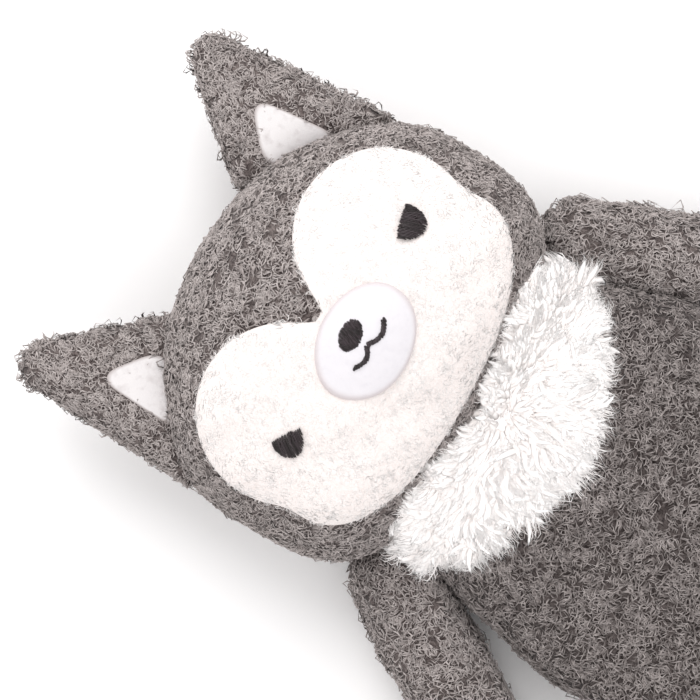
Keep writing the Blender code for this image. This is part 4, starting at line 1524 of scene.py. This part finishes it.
# ---- ears --------------------------------------------------------------------------------------
@dataclass
class Ear:
    """A flat triangular cushion that follows the head's seam, with a felt triangle in front."""

    shop: Workshop
    finishes: Finishes
    side: Side
    head: Head
    tuck: float = 5.0  # mm that the base is pushed in behind the head's seam
    clear: float = 2.0  # mm that its two corners stand off the seam
    base_turns: tuple[float, float] = (math.radians(71), math.radians(19))
    tip: tuple[float, float] = (56.5, 86.0)
    tip_radius: float = 7.5
    rise: float = 8.0
    felt_corners: Profile = ((51.2, 70.0), (32.0, 54.0), (54.0, 37.0))
    bend: Profile = ((46.5, 42.0), (53.5, 51.5))  # where the seam starts and stops bending

    def outline(self) -> np.ndarray:
        """A hollow base along the head, two long edges and a round tip."""
        turn = np.linspace(*self.base_turns, 40)
        tucked = np.minimum(np.sin(np.linspace(0, math.pi, 40)) * 3, 1)
        inward = tucked * (self.tuck + self.clear) - self.clear
        reach_x, reach_y = self.head.half_width - inward, self.head.half_length - inward
        base = np.stack([reach_x * np.cos(turn), self.head.centre_y + reach_y * np.sin(turn)], axis=1)
        arc = np.radians(np.linspace(-12, 145, 24))
        tip = np.stack([np.cos(arc), np.sin(arc)], axis=1) * self.tip_radius + self.tip
        loop = even_outline(np.concatenate([base, tip]), 120)
        return softened(loop, 1) * (self.side.sign, 1)

    def height(self, share: np.ndarray) -> np.ndarray:
        """A thin pad: full to near its edge, then round."""
        return self.rise * np.sqrt(np.maximum(1 - share**2.6, 0))

    def felt_outline(self, inset: float = 0.0) -> np.ndarray:
        """The felt triangle, its corners slightly rounded."""
        corners = np.array(self.felt_corners)
        middle = corners.mean(axis=0)
        corners = middle + (corners - middle) * (1 - inset / 12)
        return softened(even_outline(corners, 90), 9) * (self.side.sign, 1)

    def build(self, grey: Pile) -> None:
        """Makes the ear's cloth, its felt and its pile."""
        name = self.side.value
        outline = self.outline()

        def surface(plan: np.ndarray, share: np.ndarray) -> tuple[np.ndarray, np.ndarray]:
            """The same pad above and below the seam."""
            high = self.height(share) + 0.3 * ripple(np.column_stack([plan, share]), 22, 6)
            top = np.column_stack([plan, self.head.seam_z + high])
            return top, np.column_stack([plan, self.head.seam_z - high])

        grid, _ = plate_grid(outline, surface, 16)
        cloth = self.shop.closed(f"ear_cloth_{name}", grid, self.finishes.grey_ground, Slot.GREY_PLUSH)
        skin = Skin.of(cloth, self.shop.plan)
        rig.replaces(cloth, f"ear_front_panel_{name}", f"ear_back_panel_{name}")
        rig.padded(cloth, fill=0.5)
        felt = self.felt(skin)
        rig.replaces(felt, f"ear_felt_{name}")
        hollow = self.felt_outline(1.0)

        def keep(places: np.ndarray, normals: np.ndarray) -> np.ndarray:
            """No grey pile under the felt."""
            covered = inside(places[:, :2], hollow) & (normals[:, 2] > 0)
            return np.where(covered, 0.0, shown_side(places, normals))

        pile = replace(grey, tufts=0.5, length=2.8, lift=0.85, swirl=1.5)
        strands = pile.grow(
            self.shop,
            f"ear_pile_{name}",
            skin,
            self.finishes.grey_strands,
            Slot.GREY_PLUSH,
            one_way(0.2 * self.side.sign, 1.0),
            keep,
            51 + self.side.sign,
        )
        for thing in (cloth, felt, *strands):
            self.hinge(thing)

    def felt(self, skin: Skin) -> bpy.types.Object:
        """A felt sheet laid on the ear's front."""

        def surface(plan: np.ndarray, share: np.ndarray) -> tuple[np.ndarray, np.ndarray]:
            """Even thickness over the pad."""
            lift = 0.8 - 0.4 * np.maximum((share - 0.9) / 0.1, 0) ** 2
            return skin.over(plan, lift), skin.over(plan, lift - 0.9)

        grid, share = plate_grid(self.felt_outline(), surface, 14)
        name = f"ear_felt_inset_{self.side.value}"
        # the rim share carries the felt's painted shade round its edge
        thing = self.shop.closed(name, grid, self.finishes.ear_felt, Slot.WHITE_FELT, {"rim": share})
        below = f"ear_cloth_{self.side.value}"
        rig.sheet(thing, flat=(0.025, 0.032), held="laid", rests_on=[below], area=0.00036)
        return thing

    def hinge(self, thing: bpy.types.Object) -> None:
        """Bends a piece between the head and the ear, across the seam that they share."""
        start, end = (self.shop.plan.spot(x * self.side.sign, y, self.head.seam_z) for x, y in self.bend)
        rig.blend(thing, "head", f"ear_{self.side.value}", start=start, end=end)


# ---- torso -------------------------------------------------------------------------------------
@dataclass
class Torso:
    """The hand's pocket: a wide flat tube, open at the hem and rounded in under the chin."""

    shop: Workshop
    finishes: Finishes
    seam_z: float = 22.0
    hem_y: float = -189.0
    top_y: float = -44.0
    fullness: float = 2.6
    lining_top: float = -76.0
    stitch_y: float = -183.0
    label_z: float = 5.35
    # Half width, height over the side seam and depth below it, each by its place along y
    chest: Profile = ((-72, 57.5), (-62, 54.5), (-54, 49), (-48, 40), (-44, 22))
    sides: Profile = ((-189, 70), (-150, 70), (-111, 66.5), (-90, 61.5), *chest)
    shoulders: Profile = ((-68, 23.5), (-59, 22), (-50, 19), (-44, 12))
    front: Profile = ((-189, 17), (-165, 21), (-120, 25), (-85, 25), *shoulders)
    back: Profile = ((-189, 18.5), (-176, 22.5), (-160, 23.4), (-75, 23.4), (-60, 20), (-50, 16), (-44, 8))

    def ring(self, y: np.ndarray, turn: np.ndarray, inset: float) -> np.ndarray:
        """Superellipse rings across the torso.

        Args:
            y: one place along the torso for each ring.
            turn: angles round it, 0 at the left side seam.
            inset: mm drawn in from the outer face.

        Returns:
            Rings x angles x 3.
        """
        across, up = superellipse(turn, self.fullness)
        width = np.maximum(along_profile(y, self.sides) - inset, 0.5)[:, None]
        front, back = (along_profile(y, side)[:, None] for side in (self.front, self.back))
        height = np.where(up > 0, front, back) - inset
        x = width * across
        z = self.seam_z + np.maximum(height, 0.5) * up
        grid = np.stack([x, y[:, None] + 0 * x, z], axis=-1)
        slack = 0.9 * ripple(grid * (1, 0.8, 1), 46, 9) + 0.35 * ripple(grid, 17, 10)
        away = unit(np.stack([across + 0 * x, 0 * x, up + 0 * x], axis=-1))
        return grid + away * slack[..., None]

    def build(self) -> Skin:
        """Makes the outer cloth: outer rings up to the closed top, inner rings back to the hem."""
        turn = np.arange(168) / 168 * 2 * math.pi
        steps = np.concatenate([np.linspace(self.hem_y, -60, 62), np.linspace(-60, self.top_y, 14)[1:]])
        smooth = np.linspace(0, 1, len(steps))
        outer = self.ring(steps, turn, 0.0)
        top = pole(outer[-1:]) + (0, 0.8, 0)
        inner = self.ring(steps[smooth < 0.9], turn, 2.4)[::-1]
        grid = np.concatenate([top, outer[::-1], inner[::-1], pole(inner[:1])])
        cloth = self.shop.closed("torso_cloth", grid, self.finishes.body_ground, Slot.GREY_PLUSH)
        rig.ride(cloth, "torso")
        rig.replaces(cloth, "torso_front_panel", "torso_back_panel")
        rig.sheet(cloth, flat=(0.330, 0.150), held="stretched", rests_on=["torso_lining_cloth"])
        self.dress_hem()
        return Skin.of(cloth, self.shop.plan)

    def grow_pile(self, skin: Skin, bare: np.ndarray, pile: Pile) -> None:
        """Covers the torso outside the bib, but not inside the hand's pocket.

        Args:
            skin: the torso's cloth.
            bare: the bib's outline.
            pile: the grey pile.
        """
        middle = np.array([0, 0, self.seam_z])

        def keep(places: np.ndarray, normals: np.ndarray) -> np.ndarray:
            """Outer faces only: those that look away from the torso's middle line."""
            away = ((places - middle) * (1, 0, 1) * normals).sum(axis=1) > 0
            outside = away | (places[:, 1] > -52)
            covered = inside(places[:, :2], bare) & (normals[:, 2] > 0)
            return np.where(outside & ~covered, shown_side(places, normals), 0.0)

        for thing in pile.grow(
            self.shop,
            "torso_pile",
            skin,
            self.finishes.body_strands,
            Slot.GREY_PLUSH,
            one_way(0.1, -1.0),
            keep,
            61,
        ):
            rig.ride(thing, "torso")

    def dress_hem(self) -> None:
        """The lining, the rolled band, its stitches and the blank label."""
        turn = np.arange(144) / 144 * 2 * math.pi
        steps = np.linspace(self.hem_y + 0.4, self.lining_top, 34)
        outer, inner = self.ring(steps, turn, 3.1), self.ring(steps[:-1], turn, 3.9)
        grid = np.concatenate([pole(outer[-1:]), outer[::-1], inner, pole(inner[-1:])])
        lining = self.shop.closed("torso_lining_cloth", grid, self.finishes.weave, Slot.LINING)
        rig.ride(lining, "torso")
        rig.replaces(lining, "torso_lining")
        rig.sheet(lining, flat=(0.315, 0.115), held="stretched", rests_on=["torso_cloth"])
        band = self.roll(turn)
        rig.ride(band, "torso")
        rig.replaces(band, "hem_band")
        self.sew_hem()
        self.sew_label()

    def roll(self, turn: np.ndarray) -> bpy.types.Object:
        """The band that folds the plush over the lining's edge: a flat oval carried round the hem."""
        out, inn = (self.ring(np.array([self.hem_y]), turn, inset)[0] for inset in (0.0, 4.4))
        middle, half = (out + inn) / 2, (out - inn) / 2
        bend = np.arange(14) / 14 * 2 * math.pi
        drop = np.array([0, 1, 0]) * 1.7
        ring = middle[:, None] + half[:, None] * np.cos(bend)[:, None] + drop * np.sin(bend)[:, None]
        ring = ring - (0, 1.4, 0)
        faces = grid_quads(len(turn) + 1, len(bend), True) % (len(turn) * len(bend))
        points = ring.reshape(-1, 3)
        band = self.shop.piece("hem_rolled_band", points, faces, self.finishes.body_ground, Slot.GREY_PLUSH)
        pile = Pile(
            length=2.6, width=0.55, lift=0.9, tufts=0.3, strands=3, spread=0.8, pinch=0.4, swirl=1.0, curl=0.6
        )
        for thing in pile.grow(
            self.shop,
            "hem_pile",
            Skin.of(band, self.shop.plan),
            self.finishes.body_strands,
            Slot.GREY_PLUSH,
            one_way(0.1, -1.0),
            lambda places, normals: np.where(normals[:, 1] > 0.5, 0.0, 1.0),
            65,
        ):
            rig.ride(thing, "torso")
        return band

    def sew_hem(self) -> None:
        """A round of running stitches just above the hem, sunk into the pile."""
        count = 96
        turn = (np.arange(count)[:, None] + np.array([0, 0.08, 0.3, 0.54, 0.62])) / count * 2 * math.pi
        ring = self.ring(np.array([self.stitch_y]), turn.ravel(), -1.1)[0].reshape(count, 5, 3)
        middle = (0, self.stitch_y, self.seam_z)
        sunk = np.array([2.2, 0.4, 0, 0.4, 2.2])[:, None]
        paths = ring - unit(ring - middle) * sunk
        body, faces = tubes(paths, np.full((count, 3), 0.45), unit(ring[:, 2] - middle) + 0.01, sides=6)
        shade = np.repeat(np.random.default_rng(71).random(count), len(body) // count)
        thread = self.shop.piece(
            "hem_running_stitch", body, faces, self.finishes.hem_thread, Slot.LINING, {"shade": shade}
        )
        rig.ride(thread, "torso")
        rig.replaces(thread, "hem_stitching")

    def sew_label(self) -> None:
        """A blank folded tape lying on the lining, with a soft wave."""
        wide, long = 30, 46  # points each way
        across, along = np.meshgrid(np.linspace(-7, 7, wide), np.linspace(-161, -139, long), indexing="ij")
        wave = 0.25 * np.sin(along / 3.1) + 0.2 * np.sin(across / 2.3)
        top = np.stack([across, along, self.label_z + wave], axis=-1).reshape(-1, 3)
        count = len(top)
        quads = grid_quads(wide, long, False)
        number = np.arange(count).reshape(wide, long)
        rim = np.concatenate([number[0], number[1:, -1], number[-1, -2::-1], number[-2:0:-1, 0]])
        after = np.roll(rim, -1)
        walls = np.stack([rim, after, after + count, rim + count], axis=1)
        faces = np.concatenate([quads[:, ::-1], quads + count, walls[:, ::-1]])
        points = np.concatenate([top, top - (0, 0, 0.5)])
        label = self.shop.piece("care_label_tape", points, faces, self.finishes.tape, Slot.LABEL)
        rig.ride(label, "torso")
        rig.replaces(label, "care_label")


@dataclass
class Bib:
    """The shaggy chest patch: long locks that fan out from under the chin."""

    shop: Workshop
    finishes: Finishes
    upper: Profile = ((0, -42), (22, -38.5), (41, -33), (50, -34), (54, -43))
    lower: Profile = ((51, -57), (40, -64), (28, -69), (13, -75), (0, -79))

    def outline(self, grown: float = 0.0) -> np.ndarray:
        """A wide crescent below the chin, pointed at the breast."""
        corners = np.array(self.upper + self.lower, float)
        mirror = corners[-2:0:-1] * (-1, 1)
        loop = even_outline(np.concatenate([corners, mirror]), 120)
        middle = loop.mean(axis=0)
        return softened(loop + unit(loop - middle) * grown, 4)

    def build(self, torso: Skin) -> None:
        """Makes the backing and the locks."""

        def surface(plan: np.ndarray, share: np.ndarray) -> tuple[np.ndarray, np.ndarray]:
            """A pad over the chest, thickest in the middle."""
            base = torso.over(plan, 0.0)
            chin = np.clip((plan[:, 1] + 64) / 18, 0, 1)
            over = 48.5 + 0.75 * np.maximum(plan[:, 1] + 50, 0)
            crest = np.maximum(base[:, 2] + 4.5, base[:, 2] * (1 - chin) + over * chin)
            round_off = np.sqrt(np.maximum(1 - share**9, 0))
            bulk = 0.6 + (crest - base[:, 2]) * round_off + 0.7 * ripple(base, 7, 27) * round_off
            return base + (0, 0, 1) * bulk[:, None], base

        grid, _ = plate_grid(self.outline(), surface, 14)
        pad = self.shop.closed("bib_backing", grid, self.finishes.fur_ground, Slot.WHITE_FUR)
        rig.ride(pad, "torso")
        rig.replaces(pad, "chest_bib")
        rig.padded(pad, fill=0.3)

        def comb(places: np.ndarray, normals: np.ndarray) -> np.ndarray:
            """Outwards from a short line under the chin, mostly down the chest."""
            x, y = places[:, 0], places[:, 1]
            return np.stack([x * 0.5, (y + 52) * 2.2 - 2, 0 * x + 0.5], axis=1)

        def keep(places: np.ndarray, normals: np.ndarray) -> np.ndarray:
            """The upper side only."""
            return np.where(normals[:, 2] > 0.1, 1.0, 0.0)

        def size(places: np.ndarray, normals: np.ndarray) -> np.ndarray:
            """Longer towards the lower edge."""
            return np.clip(0.75 - (places[:, 1] + 50) / 60, 0.68, 1.1)

        cores = Pile(
            length=9.0,
            width=2.2,
            lift=1.6,
            tufts=0.26,
            strands=1,
            spread=0.0,
            swirl=0.7,
            jitter=0.45,
            stray=0.0,
            curl=0.15,
            droop=0.9,
            loose=0.0,
            glow=0.75,
            sides=6,
            stations=(0.0, 0.12, 0.38, 0.65, 0.86, 1.0),
            girths=(0.8, 1.0, 0.8, 0.4),
        )
        hairs = replace(
            cores,
            length=10.5,
            width=0.34,
            lift=2.4,
            strands=9,
            spread=1.7,
            pinch=0.5,
            stray=0.22,
            curl=0.2,
            droop=0.8,
            loose=0.04,
            sides=3,
            stations=(0.0, 0.3, 0.7, 1.0),
            girths=(1.0, 0.8),
        )
        skin = Skin.of(pad, self.shop.plan)
        for name, pile in (("bib_lock_cores", cores), ("bib_lock_hairs", hairs)):
            for thing in pile.grow(
                self.shop, name, skin, self.finishes.fur_strands, Slot.WHITE_FUR, comb, keep, 81, size
            ):
                thing.visible_shadow = False  # fine white fibre lets the light through
                thing.visible_diffuse = False
                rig.ride(thing, "torso")


@dataclass
class Neck:
    """The soft tube between torso and head, in two halves so that each bends at one joint."""

    shop: Workshop
    finishes: Finishes
    half_width: float = 40.0
    half_height: float = 14.5
    axis: Profile = ((-60, 22), (-38, 31))  # the tube's middle height by its place along y
    lower: tuple[float, float] = (-58.0, -47.5)
    upper: tuple[float, float] = (-48.5, -38.0)

    def half(
        self, name: str, stations: tuple[float, float], bodies: tuple[str, str], seed: int
    ) -> bpy.types.Object:
        """One half of the tube, closed at both ends.

        Args:
            name: the piece's name.
            stations: where it starts and ends along the neck.
            bodies: the bodies that it bends between.
            seed: for its pile.

        Returns:
            The cloth.
        """
        turn = np.arange(96) / 96 * 2 * math.pi
        y = np.linspace(*stations, 14)[:, None]
        x = self.half_width * np.cos(turn) + 0 * y
        z = along_profile(y, self.axis) + self.half_height * np.sin(turn)
        tube = np.stack([x, y + 0 * x, z], axis=-1)
        tube = tube + unit(tube - tube.mean(axis=1, keepdims=True)) * (0.5 * ripple(tube, 20, 14))[..., None]
        grid = np.concatenate([pole(tube[:1]), tube])
        cloth = self.shop.closed(name, grid, self.finishes.body_ground, Slot.GREY_PLUSH)
        pile = Pile(length=3.0, width=0.55, lift=1.1, tufts=0.2, strands=3, spread=0.8, pinch=0.4, curl=0.6)
        strands = pile.grow(
            self.shop,
            name.replace("cloth", "pile"),
            Skin.of(cloth, self.shop.plan),
            self.finishes.body_strands,
            Slot.GREY_PLUSH,
            one_way(0.1, -1.0),
            lambda places, normals: np.where(np.abs(normals[:, 1]) > 0.8, 0.0, 1.0),
            seed,
        )
        spot = self.shop.plan.spot
        first, last = stations
        for thing in (cloth, *strands):
            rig.blend(thing, *bodies, start=spot(0, first + 1, 24), end=spot(0, last - 1, 24))
        return cloth

    def build(self) -> None:
        """Makes both halves."""
        lower = self.half("neck_cloth_lower", self.lower, ("torso", "neck"), 91)
        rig.replaces(lower, "neck_gusset")
        self.half("neck_cloth_upper", self.upper, ("neck", "head"), 93)


# ---- arms --------------------------------------------------------------------------------------
@dataclass
class Arm:
    """A soft tube with a round shoulder and a stuffed paw, turned out from straight down."""

    shop: Workshop
    finishes: Finishes
    side: Side
    angle: float
    root: tuple[float, float] = (62.5, -47.0)
    middle_z: float = 16.4
    length: float = 98.0
    radius: float = 14.7
    paw_swell: float = 1.8

    def place(self, along: np.ndarray, across: np.ndarray, up: np.ndarray) -> np.ndarray:
        """Plan points from distances along, across and above the arm's middle line."""
        out = np.array([self.side.sign * math.sin(self.angle), -math.cos(self.angle)])
        over = np.array([-out[1], out[0]])
        root = np.array(self.root) * (self.side.sign, 1)
        plan = root + along[..., None] * out + across[..., None] * over
        return np.concatenate([plan, (self.middle_z + up)[..., None]], axis=-1)

    def grid(self) -> np.ndarray:
        """Rings from the shoulder's cap to the paw's end.

        The radius is even along the arm, swells by a quarter sine towards the paw and closes in a
        half circle at both ends.
        """
        turn = np.arange(84) / 84 * 2 * math.pi
        cap = self.radius + self.paw_swell
        top = -self.radius * np.cos(np.linspace(0, math.pi / 2, 14))[:-1]
        bottom = self.length - cap + cap * np.sin(np.linspace(0, math.pi / 2, 18))
        along = np.concatenate([top, np.linspace(0, self.length - cap, 40)[:-1], bottom])
        swell = self.paw_swell * np.sin(np.clip(along / self.length * 2 - 1, 0, 1) * math.pi / 2)
        shoulder = np.sqrt(np.maximum(1 - (np.minimum(along, 0) / self.radius) ** 2, 0))
        paw = np.sqrt(np.maximum(1 - (np.maximum(along - self.length + cap, 0) / cap) ** 2, 0))
        girth = ((self.radius + swell) * shoulder * paw)[:, None]
        across, up = girth * np.cos(turn), girth * 0.96 * np.sin(turn)
        grid = self.place(along[:, None] + 0 * across, across, up)
        away = unit(grid - grid.mean(axis=1, keepdims=True))
        slack = 0.6 * ripple(grid, 26, 15 + self.side.sign) + 0.3 * ripple(grid, 11, 18)
        return grid + away * (slack * (girth > 1))[..., None]

    def build(self, pile: Pile) -> None:
        """Makes the arm's cloth and pile."""
        name = self.side.value
        cloth = self.shop.closed(f"arm_cloth_{name}", self.grid(), self.finishes.grey_ground, Slot.GREY_PLUSH)
        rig.replaces(cloth, f"arm_front_panel_{name}", f"arm_back_panel_{name}")
        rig.padded(cloth, fill=0.45)
        out = (self.side.sign * math.sin(self.angle), -math.cos(self.angle))
        strands = pile.grow(
            self.shop,
            f"arm_pile_{name}",
            Skin.of(cloth, self.shop.plan),
            self.finishes.grey_strands,
            Slot.GREY_PLUSH,
            one_way(*out),
            shown_side,
            101 + self.side.sign,
        )
        for thing in (cloth, *strands):
            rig.ride(thing, f"arm_{name}")


# ---- frame pieces that stay --------------------------------------------------------------------
class Carried(Enum):
    """The frame's own pieces that stay shown inside the cloth, and what they are made of."""

    HEAD_STUFFING = "head_stuffing"
    HEAD_SLEEVE = "head_finger_sleeve"
    MUZZLE_WADDING = "muzzle_wadding"
    EAR_WADDING_LEFT = "ear_wadding_left"
    EAR_WADDING_RIGHT = "ear_wadding_right"
    PAW_STUFFING_LEFT = "paw_stuffing_left"
    PAW_STUFFING_RIGHT = "paw_stuffing_right"
    ARM_SLEEVE_LEFT = "arm_finger_sleeve_left"
    ARM_SLEEVE_RIGHT = "arm_finger_sleeve_right"
    SHOULDER_LEFT = "shoulder_gusset_left"
    SHOULDER_RIGHT = "shoulder_gusset_right"

    def finish(self, finishes: Finishes) -> bpy.types.Material:
        """Weave for the finger sleeves, plush ground for the gussets, fibre filling for the rest."""
        if "sleeve" in self.value:
            return finishes.weave
        return finishes.grey_ground if "gusset" in self.value else finishes.wadding


def dress_carried(nodes: dict[str, bpy.types.Object], finishes: Finishes) -> None:
    """Gives each carried piece its material.

    Args:
        nodes: the frame's nodes by name.
        finishes: the puppet's materials.
    """
    for piece in Carried:
        slots = nodes[piece.value].material_slots
        for slot in slots:
            slot.material = piece.finish(finishes)
        log.info("%s keeps its shape", piece.value)


# ---- studio ------------------------------------------------------------------------------------
@dataclass(frozen=True)
class Lamp:
    """A round soft light: its place and size in metres, its power in watts."""

    name: str
    place: tuple[float, float, float]
    size: float
    power: float


@dataclass
class Studio:
    """A pale seamless floor, soft lights and a camera looking straight down."""

    plan: Plan
    centre: tuple[float, float] = (-4.4, 2.7)
    turn: float = math.radians(-61.0)
    camera_height: float = 1.10
    focal_length: float = 170.0
    sensor: float = 36.0
    half_floor: float = 3.0
    sky: float = 1.0
    aim: tuple[float, float, float] = (0, 0.1, 0)
    lamps: tuple[Lamp, ...] = (
        Lamp("key", (0.6, 0.7, 1.0), 0.9, 8.0),
        Lamp("fill", (-0.9, -0.5, 1.3), 1.2, 3.0),
    )

    def build(self) -> None:
        """Makes the floor, the lights and the camera."""
        self.lay_floor()
        self.hang_lights()
        self.stand_camera()

    def lay_floor(self) -> None:
        """White paper, with a tooth too fine to see but for its softness."""
        material, tree, shader = new_material("white_seamless_paper")
        place = add_node(tree, "TexCoord")
        fine = {"Scale": 900.0, "Detail": 3.0}
        tooth = add_node(tree, "TexNoise", fine, {"Vector": place.outputs["Object"]})
        slight = {"Strength": 0.1, "Distance": 0.1 * MM}
        bump = add_node(tree, "Bump", slight, {"Height": tooth.outputs["Fac"]})
        tree.links.new(bump.outputs["Normal"], shader.inputs["Normal"])
        shader.inputs["Base Color"].default_value = linear("FBFAFA")
        shader.inputs["Roughness"].default_value = 0.9
        half = self.half_floor
        mesh = bpy.data.meshes.new("floor")
        corners = [(-half, -half, 0), (half, -half, 0), (half, half, 0), (-half, half, 0)]
        mesh.from_pydata(corners, [], [(0, 1, 2, 3)])
        mesh.materials.append(material)
        floor = bpy.data.objects.new("floor", mesh)
        bpy.context.scene.collection.objects.link(floor)
        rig.stage(floor)

    def hang_lights(self) -> None:
        """A broad key from the head's left, a weaker fill opposite and an even sky."""
        world = bpy.data.worlds.new("studio")
        bpy.context.scene.world = world
        world.use_nodes = True
        sky = world.node_tree.nodes["Background"]
        sky.inputs["Color"].default_value = linear("FFFEFE")
        sky.inputs["Strength"].default_value = self.sky
        for lamp in self.lamps:
            data = bpy.data.lights.new(lamp.name, "AREA")
            data.shape = "DISK"
            data.size = lamp.size
            data.energy = lamp.power
            light = bpy.data.objects.new(lamp.name, data)
            light.location = lamp.place
            aim = np.array(self.aim) - lamp.place
            light.rotation_euler = (
                math.atan2(math.hypot(aim[0], aim[1]), -aim[2]),
                0,
                math.atan2(aim[1], aim[0]) - math.pi / 2,
            )
            bpy.context.scene.collection.objects.link(light)

    def stand_camera(self) -> None:
        """Looks straight down, turned so that the head leans to one side."""
        data = bpy.data.cameras.new("camera")
        data.lens = self.focal_length
        data.sensor_width = self.sensor
        camera = bpy.data.objects.new("camera", data)
        x, y, _ = self.plan.spot(*self.centre, 0)
        camera.location = (x, y, self.camera_height)
        camera.rotation_euler = (0, 0, self.turn)
        bpy.context.scene.collection.objects.link(camera)
        bpy.context.scene.camera = camera
        bpy.context.scene.view_settings.view_transform = "Standard"
        bpy.context.scene.cycles.diffuse_bounces = 8  # white pile passes light on many times


# ---- assembly ----------------------------------------------------------------------------------
def main() -> None:
    """Builds the puppet over its frame and writes both sizes."""
    logging.basicConfig(level=logging.INFO, format="%(name)s: %(message)s")
    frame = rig.load()
    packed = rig.bounds()
    plan = Plan.of_frame()
    shop = Workshop(plan)
    finishes = Finishes()
    Studio(plan).build()
    dress_carried(frame["nodes"], finishes)

    grey = Pile(
        length=3.3,
        width=0.6,
        lift=1.15,
        tufts=0.4,
        strands=3,
        spread=0.75,
        pinch=0.5,
        stray=0.45,
        curl=0.7,
        droop=0.5,
        loose=0.01,
    )
    head = Head(shop, finishes)
    head_skin = head.build()
    mask = Mask(shop, finishes)
    mask_skin = mask.build(head_skin)
    muzzle = Muzzle(shop, finishes)
    muzzle.build(head_skin)
    Eyes(shop, finishes).build(head_skin)
    head.grow_pile(head_skin, mask.outline(-1.2), grey)
    mask.grow_pile(mask_skin, muzzle.outline(-0.6))
    for side in Side:
        Ear(shop, finishes, side, head).build(grey)

    torso = Torso(shop, finishes)
    torso_skin = torso.build()
    bib = Bib(shop, finishes)
    bib.build(torso_skin)
    body = replace(grey, tufts=0.36, length=3.7, lift=1.25)
    torso.grow_pile(torso_skin, bib.outline(-1.5), body)
    Neck(shop, finishes).build()
    for side, angle in ((Side.LEFT, 20), (Side.RIGHT, 34)):
        Arm(shop, finishes, side, math.radians(angle)).build(body)

    log.info("%d triangles in all", shop.triangles)
    sizes = {"packed": packed, "dressed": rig.bounds()}
    with open(SIZE_FILE, "w") as file:
        json.dump({key: [list(corner) for corner in box] for key, box in sizes.items()}, file)


if __name__ == "__main__":
    main()
